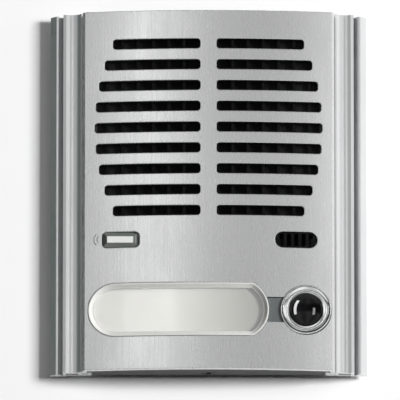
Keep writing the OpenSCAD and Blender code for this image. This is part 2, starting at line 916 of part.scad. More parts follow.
module speaker_guard() {
  rib_top = grille_z + guard_z - tiny;
  rib_bottom = grille_z - guard_z + tiny;
  color([0.05, 0.05, 0.05])
    intersection() {
      upright(panel_h)
        bow(guard_in);
      union() {
        difference() {
          block(-guard_x, guard_x, grille_z - guard_z, grille_z + guard_z, deck_front + cloth_t, front_d);
          block(
            rib_t - guard_x, guard_x - rib_t,
            grille_z - guard_z + rib_t, grille_z + guard_z - rib_t,
            deck_front, front_d + slack
          );
        }
        for (x = [rib_first:rib_pitch:guard_x - 2 * rib_t], s = [-1, 1])
          block(s * x - rib_t / 2, s * x + rib_t / 2, rib_bottom, rib_top, deck_front + cloth_t, front_d);
      }
    }
}

module dust_cloth() {
  color([0.03, 0.03, 0.03])
    block(-guard_x, guard_x, grille_z - guard_z, grille_z + guard_z, deck_front, deck_front + cloth_t);
}

module at_speaker_screws() {
  for (a = [45:90:315])
    translate([speaker_screw_at * cos(a), 0, grille_z + speaker_screw_at * sin(a)])
      children();
}

module speaker_gasket() {
  color([0.15, 0.15, 0.15])
    difference() {
      rod([0, grille_z], basket_r, gasket_d, deck_back);
      rod([0, grille_z], mouth_r + fit_gap, gasket_d - slack, deck_back + slack);
      at_speaker_screws()
        rod([0, 0], speaker_screw_r + tiny, gasket_d - slack, deck_back + slack);
    }
}

module speaker_basket() {
  wall = basket_t;
  color([0.45, 0.46, 0.48])
    difference() {
      union() {
        turned([0, grille_z])
          polygon([
            [mouth_r, gasket_d], [basket_r, gasket_d], [basket_r, flange_d], [mouth_r + wall, flange_d],
            [basket_foot_r + wall, basket_d + wall], [basket_foot_r + wall, basket_d],
            [gap_r + wall, basket_d], [gap_r + wall, basket_d + wall],
            [basket_foot_r, basket_d + wall], [mouth_r, flange_d]
          ]);
        block(
          -5 * wall, 5 * wall,
          tag_z - 2 * wall, tag_z + 2 * wall,
          basket_d + 2 * wall, basket_d + 4 * wall
        );
      }
      at_speaker_screws()
        rod([0, 0], speaker_screw_r + tiny, 0, deck_back);
      for (a = [0:60:120])
        translate([0, 0, grille_z])
          rotate([0, a, 0])
            slab(basket_r, basket_foot_r / 4, basket_d + 4 * wall, flange_d - 2 * wall);
    }
}

module speaker_surround() {
  color([0.1, 0.1, 0.1])
    turned([0, grille_z])
      intersection() {
        difference() {
          translate([roll_at, cone_d])
            circle(r = roll_r);
          translate([roll_at, cone_d])
            circle(r = roll_r - surround_t);
        }
        translate([roll_at - roll_r - slack, cone_d])
          square([2 * roll_r + 2 * slack, roll_r + slack]);
      }
}

module speaker_cone() {
  color([0.16, 0.15, 0.14])
    union() {
      turned([0, grille_z])
        polygon([
          [cone_r, cone_d], [cone_r, cone_d - cone_t], [coil_r, neck_d - cone_t],
          [former_r, neck_d - cone_t], [former_r, neck_d], [coil_r, neck_d]
        ]);
      turned([0, grille_z])
        intersection() {
          difference() {
            translate([0, neck_d])
              circle(r = cap_ball_r);
            translate([0, neck_d])
              circle(r = cap_ball_r - cone_t);
          }
          translate([0, neck_d + cone_t / 4])
            square([cap_ball_r + slack, cap_ball_r + slack]);
        }
    }
}

module voice_coil() {
  color([0.72, 0.4, 0.2])
    turned([0, grille_z])
      polygon([
        [former_r, neck_d - cone_t - tiny], [coil_r, neck_d - cone_t - tiny],
        [coil_r, neck_d - coil_l / 2], [coil_r + winding_t, neck_d - coil_l / 2],
        [coil_r + winding_t, neck_d - coil_l], [former_r, neck_d - coil_l]
      ]);
}

module magnet_top_plate() {
  color([0.62, 0.62, 0.6])
    difference() {
      rod([0, grille_z], magnet_r + basket_t, top_plate_d, basket_d);
      rod([0, grille_z], gap_r, top_plate_d - slack, basket_d + slack);
    }
}

module speaker_magnet() {
  color([0.14, 0.14, 0.15])
    difference() {
      rod([0, grille_z], magnet_r, magnet_d, top_plate_d);
      rod([0, grille_z], gap_r + 2 * basket_t, magnet_d - slack, top_plate_d + slack);
    }
}

module pole_piece() {
  color([0.62, 0.62, 0.6])
    union() {
      rod([0, grille_z], magnet_r + basket_t, yoke_d, magnet_d);
      rod([0, grille_z], pole_r, yoke_d + tiny, basket_d);
    }
}

module speaker_screws() {
  color([0.6, 0.6, 0.6])
    at_speaker_screws() {
      rod([0, 0], speaker_screw_r, flange_d - tiny, deck_front - fit_gap);
      rod([0, 0], speaker_head_r, flange_d - screw_head_t, flange_d);
    }
}

// Faces of a closed tube of rings
function tube_faces(last, sides) = concat(
  [
    for (i = [0:last - 1], j = [0:sides - 1])
      let (k = (j + 1) % sides)
        [i * sides + j, i * sides + k, (i + 1) * sides + k, (i + 1) * sides + j]
  ],
  [[for (j = [0:sides - 1]) sides - 1 - j], [for (j = [0:sides - 1]) last * sides + j]]
);

// Point on the curve that four points steer
function curve(p, t) = pow(1 - t, 3) * p[0] + 3 * t * pow(1 - t, 2) * p[1]
  + 3 * pow(t, 2) * (1 - t) * p[2] + pow(t, 3) * p[3];

module speaker_leads() {
  sides = 8;
  last = 14;
  out_y = speaker_lead_r - basket_d - 2 * basket_t;
  end_y = trimmer_t - board_back + 2 * tiny;
  bend = 2 * trimmer_t;
  steer = [[out_y, tag_z], [out_y + bend / 2, tag_z], [end_y + bend, post_z], [end_y, post_z]];
  path = [for (i = [0:last]) curve(steer, i / last)];
  color([0.6, 0.1, 0.08])
    for (x = [-2 * speaker_lead_r, 2 * speaker_lead_r])
      polyhedron([
        for (i = [0:last], j = [0:sides - 1])
          let (
            way = path[min(i + 1, last)] - path[max(i - 1, 0)],
            lean = way / norm(way),
            a = 360 * j / sides
          )
            [
              x + speaker_lead_r * cos(a),
              path[i][0] + speaker_lead_r * sin(a) * lean[1],
              path[i][1] - speaker_lead_r * sin(a) * lean[0]
            ]
      ], tube_faces(last, sides));
}

module status_lens() {
  top = bow_depth(small_x, 0) + status_proud;
  low = top - status_fall;
  base = bow_depth(small_x + status_w / 2, flange_back);
  half_h = status_h / 2 - insert_gap;
  half_w = status_w / 2 - insert_gap;
  flat_w = half_w - (half_h - status_flat_h / 2);
  color([0.86, 0.9, 0.86])
    union() {
      intersection() {
        ahead(deck_front, front_d + slack)
          polygon(status_outline(insert_gap));
        translate([-small_x - status_w, 0, small_z])
          rotate([90, 0, 90])
            linear_extrude(2 * status_w)
              polygon([
                [-base, -half_h], [-low, -half_h], [-top, -status_flat_h / 2],
                [-top, status_flat_h / 2], [-low, half_h], [-base, half_h]
              ]);
        translate([-small_x, 0, small_z - status_h])
          linear_extrude(2 * status_h)
            polygon([
              [-half_w, -base], [-half_w, -low], [-flat_w, -top],
              [flat_w, -top], [half_w, -low], [half_w, -base]
            ]);
      }
      intersection() {
        shell(flange_in, flange_back);
        ahead(deck_front, front_d)
          polygon(status_outline(-flange_lap));
      }
      block(
        -small_x - pipe_w / 2, -small_x + pipe_w / 2,
        small_z - pipe_h / 2, small_z + pipe_h / 2,
        deck_back - 2 * fit_gap - flange_t, base + flange_t / 2
      );
    }
}

module status_led() {
  led_r = pipe_h / 2;
  led_d = deck_back - flange_t - 3 * fit_gap - led_r;
  color([0.9, 0.9, 0.85])
    union() {
      rod([-small_x, small_z], led_r, -board_d, led_d);
      rod([-small_x, small_z], led_r + 2 * fit_gap, -board_d, flange_t - board_d);
      translate([-small_x, -led_d, small_z])
        sphere(r = led_r - tiny / 10);
    }
}

module mic_insert() {
  slit_z = mic_h / 2 - 5 * insert_gap;
  color([0.04, 0.04, 0.04])
    difference() {
      intersection() {
        upright(panel_h)
          bow(mic_setback);
        ahead(deck_front, front_d)
          polygon(mic_outline(insert_gap));
      }
      for (k = [-2:2]) {
        x = small_x + k * slit_pitch;
        block(x - slit_w / 2, x + slit_w / 2, small_z - slit_z, small_z + slit_z, deck_front + 1, front_d);
        block(x - slit_w / 2, x + slit_w / 2, small_z - slit_w, small_z + slit_w, deck_front - 1, front_d);
      }
    }
}

module mic_boot() {
  color([0.12, 0.12, 0.12])
    difference() {
      rod(mic_at, capsule_r + boot_wall, capsule_d - boot_wall, deck_front - tiny);
      rod(mic_at, capsule_r + tiny, capsule_d, deck_front);
      rod(mic_at, mic_lead_pitch, 0, deck_front);
    }
}

module mic_capsule() {
  color([0.7, 0.71, 0.72])
    rod(mic_at, capsule_r, capsule_d, capsule_d + capsule_l);
}

module mic_leads() {
  color([0.75, 0.75, 0.7])
    for (s = [-1, 1])
      rod([small_x + s * mic_lead_pitch / 2, small_z], mic_lead_r, -board_d, capsule_d);
}

module name_window() {
  color([0.9, 0.92, 0.9])
    difference() {
      union() {
        intersection() {
          shell(name_setback, flange_back);
          ahead(upstand_d, front_d)
            polygon(name_outline(insert_gap));
        }
        intersection() {
          shell(flange_in, flange_back);
          block(
            fit_gap - inner_x, name_end - name_border,
            name_z - name_h / 2 - flange_lap, name_z + name_h / 2 + flange_lap,
            upstand_d, front_d
          );
        }
      }
      difference() {
        ahead(upstand_d, front_d + slack)
          polygon(name_outline(name_border));
        upright(panel_h)
          bow(name_setback + name_dish);
      }
    }
}

module name_card() {
  color([0.95, 0.95, 0.92])
    intersection() {
      shell(card_in, card_in + card_t);
      union() {
        ahead(upstand_d, front_d)
          polygon(name_outline(card_margin));
        block(
          name_start + name_h / 2, name_end - name_end_r / 2,
          name_z - card_tuck, name_z + card_tuck,
          upstand_d, front_d
        );
      }
    }
}

module light_guide() {
  color([0.92, 0.93, 0.93])
    intersection() {
      upright(panel_h)
        bow(guide_in);
      block(guide_start, guide_end, name_z - guide_z, name_z + guide_z, deck_front, front_d);
    }
}

module label_leds() {
  middle = (guide_start + guide_end) / 2;
  color([0.95, 0.9, 0.6])
    for (k = [-1:1])
      block(
        middle + k * lamp_pitch - lamp_w / 2, middle + k * lamp_pitch + lamp_w / 2,
        name_z - lamp_w / 2, name_z + lamp_w / 2,
        -board_d, lamp_t - board_d
      );
}

module link_plate() {
  color([0.36, 0.39, 0.42])
    difference() {
      block(
        name_end - name_border, button_x,
        name_z - link_h / 2 + insert_gap, name_z + link_h / 2 - insert_gap,
        deck_front, link_d
      );
      ahead(deck_front - slack, front_d)
        polygon(name_outline(0));
      rod(button_at, ring_r + insert_gap, deck_front - slack, front_d);
    }
}

module button_bezel() {
  color([0.82, 0.83, 0.85])
    union() {
      turned(button_at)
        difference() {
          polygon([
            [bore_r, deck_front], [ring_r, deck_front], [ring_r, rim_d - rim_bevel],
            [ring_r - rim_bevel, rim_d], [bore_r, rim_d]
          ]);
          translate([dish_at, rim_d + dish_up])
            circle(r = dish_r);
        }
      for (p = pegs)
        rod(p, peg_r, deck_back - clip_t, deck_front + tiny);
    }
}

module button_cap() {
  color([0.03, 0.03, 0.035])
    difference() {
      union() {
        intersection() {
          translate([button_x, dome_r - dome_h - dome_d, name_z])
            sphere(r = dome_r);
          rod(button_at, cap_r, dome_d, front_d + dome_h + slack);
        }
        difference() {
          rod(button_at, cap_r, dome_d - skirt_l, dome_d + tiny);
          rod(button_at, hollow_r, 0, hollow_d);
        }
        rod(button_at, stem_r, stem_end, dome_d);
      }
      difference() {
        rod(button_at, stem_r + slack, clip_d - clip_t - tiny / 2, clip_d + tiny / 2);
        rod(button_at, stem_r - clip_groove, 0, front_d);
      }
    }
}

module button_clip() {
  grip_r = stem_r - clip_groove + tiny;
  color([0.5, 0.5, 0.52])
    difference() {
      rod(button_at, clip_r, clip_d - clip_t, clip_d);
      rod(button_at, grip_r, 0, deck_back);
      block(button_x - grip_r * 0.9, button_x + grip_r * 0.9, name_z - clip_r, name_z, 0, deck_back);
    }
}

// One unbroken coil of round wire along the depth
module button_spring() {
  sides = 8;
  steps = 16;
  last = steps * spring_turns;
  low = deck_front + spring_wire_r + tiny;
  rise = hollow_d - deck_front - 2 * spring_wire_r - 2 * tiny;
  ring = [
    for (i = [0:last], j = [0:sides - 1])
      let (a = 360 * i / steps, b = 360 * j / sides, r = spring_r + spring_wire_r * cos(b))
        [button_x + r * cos(a), -low - rise * i / last - spring_wire_r * sin(b), name_z + r * sin(a)]
  ];
  color([0.7, 0.71, 0.72])
    polyhedron(ring, tube_faces(last, sides));
}

module switch_body() {
  color([0.1, 0.1, 0.1])
    difference() {
      block(
        button_x - switch_w / 2, button_x + switch_w / 2,
        name_z - switch_w / 2, name_z + switch_w / 2,
        -board_d, switch_d
      );
      rod(button_at, plunger_r + run_gap, plunger_foot - press - fit_gap, switch_d + slack);
    }
}

module switch_plunger() {
  color([0.75, 0.73, 0.66])
    rod(button_at, plunger_r, plunger_foot, plunger_end);
}

module main_board() {
  color([0.1, 0.3, 0.16])
    difference() {
      block(-board_x, board_x, board_bottom, board_top, board_back, -board_d);
      for (s = [-1, 1])
        block(
          s * board_x - board_x + board_notch_x, s * board_x + board_x - board_notch_x,
          board_bottom - slack, board_notch_z,
          board_back - slack, slack
        );
      for (p = posts)
        rod(p, board_screw_r + fit_gap, board_back - slack, slack);
    }
}

module board_screws() {
  color([0.65, 0.65, 0.62])
    for (p = posts) {
      rod(p, board_screw_r, board_back - tiny, fit_gap);
      rod(p, 2 * board_screw_r, board_back - screw_head_t, board_back);
    }
}

module terminal_row() {
  for (k = [0:terminals - 1])
    translate([(k - (terminals - 1) / 2) * terminal_pitch, 0, terminal_z])
      children();
}

module terminal_block() {
  entry = terminal_pitch / 3;
  color([0.1, 0.32, 0.22])
    difference() {
      block(-terminal_x, terminal_x, terminal_z, terminal_z + terminal_w, terminal_back, board_back);
      terminal_row()
        rod([0, screw_up], terminal_screw_r + 3 * tiny, terminal_back - slack, terminal_back + well_t);
      terminal_row()
        block(-entry, entry, -slack, terminal_w / 2, board_back - 2 * entry - well_t, board_back - well_t);
    }
}

module terminal_screws() {
  color([0.78, 0.77, 0.72])
    terminal_row()
      difference() {
        rod([0, screw_up], terminal_screw_r, terminal_back + driver_w, terminal_back + well_t);
        block(
          -terminal_screw_r - slack, terminal_screw_r + slack,
          screw_up - driver_w / 2, screw_up + driver_w / 2,
          terminal_back - slack, terminal_back + driver_w + driver_t
        );
      }
}

module trimmer_bodies() {
  color([0.12, 0.25, 0.5])
    for (p = trimmers)
      difference() {
        block(
          p[0] - trimmer_w / 2, p[0] + trimmer_w / 2,
          p[1] - trimmer_w / 2, p[1] + trimmer_w / 2,
          trimmer_back, board_back
        );
        rod(p, shaft_r + run_gap, trimmer_back - slack, trimmer_back + shaft_in);
      }
}

module trimmer_shaft(p) {
  color([0.9, 0.9, 0.88])
    difference() {
      rod(p, shaft_r, shaft_end, trimmer_back + shaft_in - fit_gap);
      block(
        p[0] - shaft_r - slack, p[0] + shaft_r + slack,
        p[1] - driver_w / 2, p[1] + driver_w / 2,
        shaft_end - slack, shaft_end + driver_t
      );
    }
}

module street_trimmer() {
  trimmer_shaft(trimmers[0]);
}

module indoor_trimmer() {
  trimmer_shaft(trimmers[1]);
}

module capacitors() {
  can_x = board_x - can_in;
  low_z = terminal_z + terminal_w / 2;
  cans = [
    for (k = [0:3])
      [can_x + (min(k, 2) - 2) * can_pitch, k < 2 ? trimmer_z : k < 3 ? trimmer_z - can_r : low_z]
  ];
  color([0.1, 0.12, 0.2])
    for (p = cans)
      difference() {
        rod(p, can_r, board_back - can_l, board_back);
        difference() {
          rod(p, can_r + slack, board_back - 2 * driver_t, board_back - driver_t);
          rod(p, can_r - driver_w / 3, board_back - can_l, board_back);
        }
      }
}

module audio_chip() {
  chip_x = chip_in - board_x;
  chip_z = terminal_z + terminal_w - 2;
  chip_w = 3.2;
  chip_h = 9.6;
  chip_t = 3.4;
  leg_w = 0.5;
  leg_pitch = 2.54;
  color([0.06, 0.06, 0.07])
    union() {
      block(
        chip_x - chip_w, chip_x + chip_w,
        chip_z - chip_h, chip_z + chip_h,
        board_back - chip_t, board_back - leg_w
      );
      for (k = [-3:3], s = [-1, 1])
        block(
          chip_x + s * chip_w - leg_w, chip_x + s * chip_w + leg_w,
          chip_z + k * leg_pitch - leg_w, chip_z + k * leg_pitch + leg_w,
          board_back - chip_t / 2, board_back
        );
    }
}

module resistors() {
  body_r = 1.1;
  body_l = 6;
  lead_r = 0.3;
  pitch = 4;
  body_d = board_back - 2 * body_r;
  row_z = (terminal_z + terminal_w + trimmer_z - trimmer_w / 2 - body_l) / 2;
  color([0.75, 0.62, 0.45])
    for (k = [0:4])
      translate([(k - 1.5) * pitch, 0, 0]) {
        translate([0, -body_d, row_z])
          cylinder(r = body_r, h = body_l);
        for (z = [row_z + body_r, row_z + body_l - body_r])
          rod([0, z], lead_r, body_d, board_back);
      }
}

module lead_header() {
  header_x = 3.5;
  header_z = 2.5;
  color([0.9, 0.89, 0.84])
    block(-header_x, header_x, post_z - header_z, post_z + header_z, board_back - trimmer_t, board_back);
}

module at_bosses() {
  for (x = [-boss_x, boss_x], z = [-boss_z, boss_z])
    translate([x, 0, z])
      children();
}

module rear_cover() {
  vent_x = 16;
  window_x = terminal_x + 3;
  window_low = house_wall - house_z + 1;
  color([0.16, 0.165, 0.17])
    difference() {
      union() {
        difference() {
          ahead(-house_d, house_front)
            polygon(rounded(-house_x, house_x, -house_z, house_z, house_corner_r, corner_n * 2));
          ahead(house_wall - house_d, house_front + slack)
            polygon(rounded(
              house_wall - house_x, house_x - house_wall,
              house_wall - house_z, house_z - house_wall,
              house_corner_r - house_wall, corner_n * 2
            ));
        }
        at_bosses()
          rod([0, 0], boss_r, tiny - house_d, house_front);
      }
      at_bosses()
        rod([0, 0], cover_head_r + fit_gap, -house_d - slack, seat_d);
      at_bosses()
        rod([0, 0], cover_screw_r + fit_gap, seat_d - slack, deck_front);
      block(
        -window_x, window_x,
        window_low, terminal_z + terminal_w + 1,
        -house_d - slack, house_wall + tiny - house_d
      );
      for (p = trimmers)
        rod(p, shaft_hole_r, -house_d - slack, house_wall + tiny - house_d);
      label_place(fit_gap, -house_d - slack, label_recess - house_d);
      for (k = [-(vents - 1) / 2:(vents - 1) / 2])
        block(
          -vent_x, vent_x,
          grille_z + k * vent_pitch - vent_h / 2, grille_z + k * vent_pitch + vent_h / 2,
          -house_d - slack, house_wall + tiny - house_d
        );
    }
}

module label_place(gap, a, b) {
  block(
    label_x - label_w / 2 - gap, label_x + label_w / 2 + gap,
    label_z - label_h / 2 - gap, label_z + label_h / 2 + gap,
    a, b
  );
}

module rear_label() {
  color([0.9, 0.9, 0.88])
    label_place(0, label_recess - label_t - house_d, label_recess - house_d);
}

module cover_screws() {
  color([0.66, 0.66, 0.64])
    at_bosses()
      difference() {
        union() {
          rod([0, 0], cover_screw_r, seat_d - tiny, deck_front - fit_gap);
          rod([0, 0], cover_head_r, seat_d - screw_head_t, seat_d);
        }
        slab(cover_head_r + slack, driver_w / 2, seat_d - screw_head_t - slack, seat_d - screw_head_t / 2);
        slab(driver_w / 2, cover_head_r + slack, seat_d - screw_head_t - slack, seat_d - screw_head_t / 2);
      }
}

module wall_plate() {
  plate_corner_r = 3;
  color([0.66, 0.67, 0.66])
    difference() {
      union() {
        difference() {
          ahead(0, wall_t)
            polygon(rounded(-wall_x, wall_x, -wall_z, wall_z, plate_corner_r, corner_n));
          slab(open_x, open_z, -slack, wall_t + slack);
        }
        for (x = [-hook_x, hook_x]) {
          block(x - hook_w / 2, x + hook_w / 2, open_z, hook_z, 0, lip_d);
          block(x - hook_w / 2, x + hook_w / 2, open_z, hook_z + hook_up, lip_d - lip_t, lip_d);
        }
        block(-lock_tab_x, lock_tab_x, -open_z - lock_tab_t, -open_z, 0, lock_tab_d);
      }
      for (x = [-hole_dx / 2, hole_dx / 2], z = [-hole_z, hole_z])
        rod([x, z], hole_r, -slack, wall_t + slack);
      lock_hole(lock_r + tiny, -open_z - lock_tab_t - slack, slack - open_z);
    }
}

module security_screw() {
  color([0.5, 0.5, 0.52])
    difference() {
      union() {
        lock_hole(lock_head_r, -frame_z, lock_head_t - frame_z);
        lock_hole(lock_r, -frame_z + tiny, lock_top);
      }
      translate([0, -lock_d, -frame_z - slack])
        cylinder(r = socket_r, h = slack + lock_head_t - fit_gap, $fn = 6);
    }
}

face_plate();
left_rail();
right_rail();
rail_screws();
plate_studs();
stud_nuts();
chassis_frame();
speaker_guard();
dust_cloth();
speaker_gasket();
speaker_basket();
speaker_surround();
speaker_cone();
voice_coil();
magnet_top_plate();
speaker_magnet();
pole_piece();
speaker_screws();
speaker_leads();
status_lens();
status_led();
mic_insert();
mic_boot();
mic_capsule();
mic_leads();
name_window();
name_card();
light_guide();
label_leds();
link_plate();
button_bezel();
button_cap();
button_spring();
button_clip();
switch_body();
switch_plunger();
main_board();
board_screws();
terminal_block();
terminal_screws();
trimmer_bodies();
street_trimmer();
indoor_trimmer();
capacitors();
audio_chip();
resistors();
lead_header();
rear_cover();
rear_label();
cover_screws();
wall_plate();
security_screw();
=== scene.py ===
import math

import bmesh
import bpy
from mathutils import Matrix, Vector
from mathutils.geometry import delaunay_2d_cdt
from mathutils.kdtree import KDTree


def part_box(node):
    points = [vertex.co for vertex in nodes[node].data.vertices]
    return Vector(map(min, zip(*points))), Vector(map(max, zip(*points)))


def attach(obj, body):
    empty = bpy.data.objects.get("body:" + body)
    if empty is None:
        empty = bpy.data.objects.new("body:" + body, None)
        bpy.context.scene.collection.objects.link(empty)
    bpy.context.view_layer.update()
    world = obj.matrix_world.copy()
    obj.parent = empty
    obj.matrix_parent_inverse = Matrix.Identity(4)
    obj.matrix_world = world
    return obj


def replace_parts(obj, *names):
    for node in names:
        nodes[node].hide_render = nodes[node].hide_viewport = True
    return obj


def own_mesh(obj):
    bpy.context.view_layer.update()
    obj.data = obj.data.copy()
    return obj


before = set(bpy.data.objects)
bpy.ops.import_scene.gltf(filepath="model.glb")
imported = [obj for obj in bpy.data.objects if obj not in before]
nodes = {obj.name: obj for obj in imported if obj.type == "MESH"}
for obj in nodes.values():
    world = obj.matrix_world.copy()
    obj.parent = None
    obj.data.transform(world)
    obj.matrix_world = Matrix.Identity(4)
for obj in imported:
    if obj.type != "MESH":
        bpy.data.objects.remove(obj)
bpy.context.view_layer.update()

# Sizes in millimetres, where a depth is counted from the wall towards the visitor

MM = 0.001


def box_mm(node):
    """Lowest and highest corner of a node at rest."""
    return tuple(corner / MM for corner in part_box(node))


def size_mm(node):
    """Width and height of a node seen from the front."""
    low, high = box_mm(node)
    return round(high.x - low.x, 3), round(high.z - low.z, 3)


def middle_mm(node):
    """Middle of a node seen from the front, as x and z."""
    low, high = box_mm(node)
    return round((low.x + high.x) / 2, 3), round((low.z + high.z) / 2, 3)


# Gap between a piece and the opening of the face that it sits in
FIT_GAP = 0.15

# Face: half width and height, thickness, the legs down its sides and the bevels beside them
PLATE_X, PLATE_Z = (side / 2 for side in size_mm("face_plate"))
PLATE_T, LEG_T = 2.0, 2.0
LEG_X, LEG_D = PLATE_X - LEG_T, round(-box_mm("face_plate")[1].y, 3)
BEVEL_W, BEVEL_D = 1.0, 1.3

# Bow of the face: the depth at its middle, and how far its sides lie behind that
FRONT_D, BOW_RISE = 14.0, 3.854
BOW_R = (PLATE_X ** 2 + BOW_RISE ** 2) / (2 * BOW_RISE)

# Grille, whose rows end on an arc
SLOT_ROWS, SLOT_H, SLOT_CORNER, SLOT_WEB = 9, 4.2, 1.3, 6.7
GRILLE_H, GRILLE_X, GRILLE_END_R = 75.0, 46.8, 87.0
SLOT_PITCH = (GRILLE_H - SLOT_H) / (SLOT_ROWS - 1)
GRILLE_Z = middle_mm("speaker_cone")[1]

# Status window, and microphone opening with a short straight part in its round ends
STATUS_X, SMALL_Z = middle_mm("status_lens")
STATUS_W, STATUS_H, STATUS_CORNER = 15.4, 6.7, 2.0
MIC_X = middle_mm("mic_insert")[0]
MIC_W, MIC_H = (side + 2 * FIT_GAP for side in size_mm("mic_insert"))
MIC_FLAT = 0.1

# Name window, the link beside it and the button
BUTTON = middle_mm("button_cap")
NAME_Z, NAME_H, NAME_END_R = BUTTON[1], 22.6, 13.0
NAME_START = round(box_mm("name_window")[0].x - FIT_GAP, 3)
NAME_END = round(box_mm("name_window")[1].x + FIT_GAP, 3)
LINK_H = size_mm("link_plate")[1] + 2 * FIT_GAP
RING_HOLE_R = round(box_mm("button_bezel")[1].x - BUTTON[0], 3) + FIT_GAP


def bow_depth(x, inset):
    """Depth of the surface that lies inset behind the bowed front."""
    return FRONT_D - BOW_R + math.sqrt((BOW_R - inset) ** 2 - x * x)


# Finishes

# Phase that a wave texture has for each unit of its scale
WAVE_PHASE = 20.0


class Shading:
    """Short ways to add and join the nodes of a shader tree."""

    def __init__(self, tree):
        self.tree = tree

    def add(self, kind, **settings):
        node = self.tree.nodes.new(kind)
        for key, value in settings.items():
            setattr(node, key, value)
        return node

    def feed(self, socket, value):
        """Links a socket to another one, or sets it."""
        if isinstance(value, bpy.types.NodeSocket):
            self.tree.links.new(value, socket)
        elif socket.type == "RGBA":
            socket.default_value = (*value, 1.0)
        else:
            socket.default_value = value

    def maths(self, operation, a, b=0.0, clamp=False):
        node = self.add("ShaderNodeMath", operation=operation, use_clamp=clamp)
        self.feed(node.inputs[0], a)
        self.feed(node.inputs[1], b)
        return node.outputs[0]

    def ramp(self, value, *stops):
        """Colour that runs between stops of place and colour."""
        node = self.add("ShaderNodeValToRGB")
        elements = node.color_ramp.elements
        while len(elements) < len(stops):
            elements.new(0.5)
        for element, (at, colour) in zip(elements, stops):
            element.position = at
            element.color = (*colour, 1.0)
        self.feed(node.inputs[0], value)
        return node.outputs[0]

    def mix_shaders(self, share, a, b):
        node = self.add("ShaderNodeMixShader")
        for socket, value in zip(node.inputs, (share, a, b)):
            self.feed(socket, value)
        return node.outputs[0]


class Finish(Shading):
    """A material on one Principled shader, with its patterns laid out in the object's own coordinates."""

    def __init__(self, name, metal=0.0):
        self.name = name
        self.mat = bpy.data.materials.new(name)
        self.mat.use_nodes = True
        super().__init__(self.mat.node_tree)
        self.bsdf = self.tree.nodes["Principled BSDF"]
        self.out = self.tree.nodes["Material Output"]
        self.place = self.add("ShaderNodeTexCoord").outputs["Object"]
        self.normal = None
        self.set("Metallic", metal)

    def set(self, name, value):
        self.feed(self.bsdf.inputs[name], value)

    def span(self, value, a, b, c=0.0, d=1.0, smooth=False):
        """Value taken from the range a to b over to the range c to d."""
        node = self.add("ShaderNodeMapRange")
        node.interpolation_type = "SMOOTHSTEP" if smooth else "LINEAR"
        for socket, v in zip(node.inputs, (value, a, b, c, d)):
            self.feed(socket, v)
        return node.outputs["Result"]

    def axes(self):
        node = self.add("ShaderNodeSeparateXYZ")
        self.feed(node.inputs[0], self.place)
        return node.outputs

    def stretched(self, stretch=(1.0, 1.0, 1.0), shift=(0.0, 0.0, 0.0)):
        node = self.add("ShaderNodeMapping")
        self.feed(node.inputs["Vector"], self.place)
        self.feed(node.inputs["Location"], shift)
        self.feed(node.inputs["Scale"], stretch)
        return node.outputs[0]

    def turned(self, x, z):
        """Coordinates by the distance from an axis along the depth."""
        flat = self.add("ShaderNodeVectorMath", operation="MULTIPLY")
        self.feed(flat.inputs[0], self.stretched(shift=(-x * MM, 0.0, -z * MM)))
        self.feed(flat.inputs[1], (1.0, 0.0, 1.0))
        length = self.add("ShaderNodeVectorMath", operation="LENGTH")
        self.feed(length.inputs[0], flat.outputs[0])
        across = self.add("ShaderNodeCombineXYZ")
        self.feed(across.inputs[0], length.outputs["Value"])
        return across.outputs[0]

    def noise(self, scale, detail=3.0, rough=0.5, vector=None, **laid):
        """Noise over given coordinates, or over the object's own with a stretch and a shift."""
        node = self.add("ShaderNodeTexNoise")
        self.feed(node.inputs["Vector"], self.stretched(**laid) if vector is None else vector)
        self.feed(node.inputs["Scale"], scale)
        self.feed(node.inputs["Detail"], detail)
        self.feed(node.inputs["Roughness"], rough)
        return node.outputs[0]

    def mosaic(self, scale, stretch=(1.0, 1.0, 1.0)):
        """A grey level of its own for each cell of a random mosaic."""
        cells = self.add("ShaderNodeTexVoronoi")
        self.feed(cells.inputs["Vector"], self.stretched(stretch))
        self.feed(cells.inputs["Scale"], scale)
        grey = self.add("ShaderNodeRGBToBW")
        self.feed(grey.inputs[0], cells.outputs["Color"])
        return grey.outputs[0]

    def bands(self, pitch, direction, distort=0.0):
        """Soft bands along an axis, a pitch in millimetres apart."""
        node = self.add("ShaderNodeTexWave", bands_direction=direction)
        self.feed(node.inputs["Vector"], self.place)
        self.feed(node.inputs["Scale"], 2.0 * math.pi / (WAVE_PHASE * pitch * MM))
        self.feed(node.inputs["Distortion"], distort)
        return node.outputs["Fac"]

    def mix(self, share, a, b):
        node = self.add("ShaderNodeMix", data_type="RGBA")
        self.feed(node.inputs[0], share)
        for socket, value in zip((s for s in node.inputs if s.type == "RGBA"), (a, b)):
            self.feed(socket, value)
        return next(s for s in node.outputs if s.type == "RGBA")

    def bump(self, height, distance, strength):
        node = self.add("ShaderNodeBump")
        self.feed(node.inputs["Strength"], strength)
        self.feed(node.inputs["Distance"], distance)
        self.feed(node.inputs["Height"], height)
        if self.normal is not None:
            self.feed(node.inputs["Normal"], self.normal)
        self.normal = node.outputs[0]
        self.set("Normal", self.normal)

    def within(self, axis, low, high, soft):
        """1 between two places along an axis, in millimetres, with soft ends."""
        value = self.axes()[axis]
        up = self.span(value, (low - soft) * MM, (low + soft) * MM, smooth=True)
        down = self.span(value, (high - soft) * MM, (high + soft) * MM, 1.0, 0.0, smooth=True)
        return self.maths("MULTIPLY", up, down)

    def clear_to_lamps(self):
        """Lets the light of the lamps through a clear piece."""
        shadow = self.add("ShaderNodeLightPath").outputs["Is Shadow Ray"]
        clear = self.add("ShaderNodeBsdfTransparent").outputs[0]
        self.feed(self.out.inputs["Surface"], self.mix_shaders(shadow, self.bsdf.outputs[0], clear))


def shaded(colour, share):
    return tuple(c * share for c in colour)


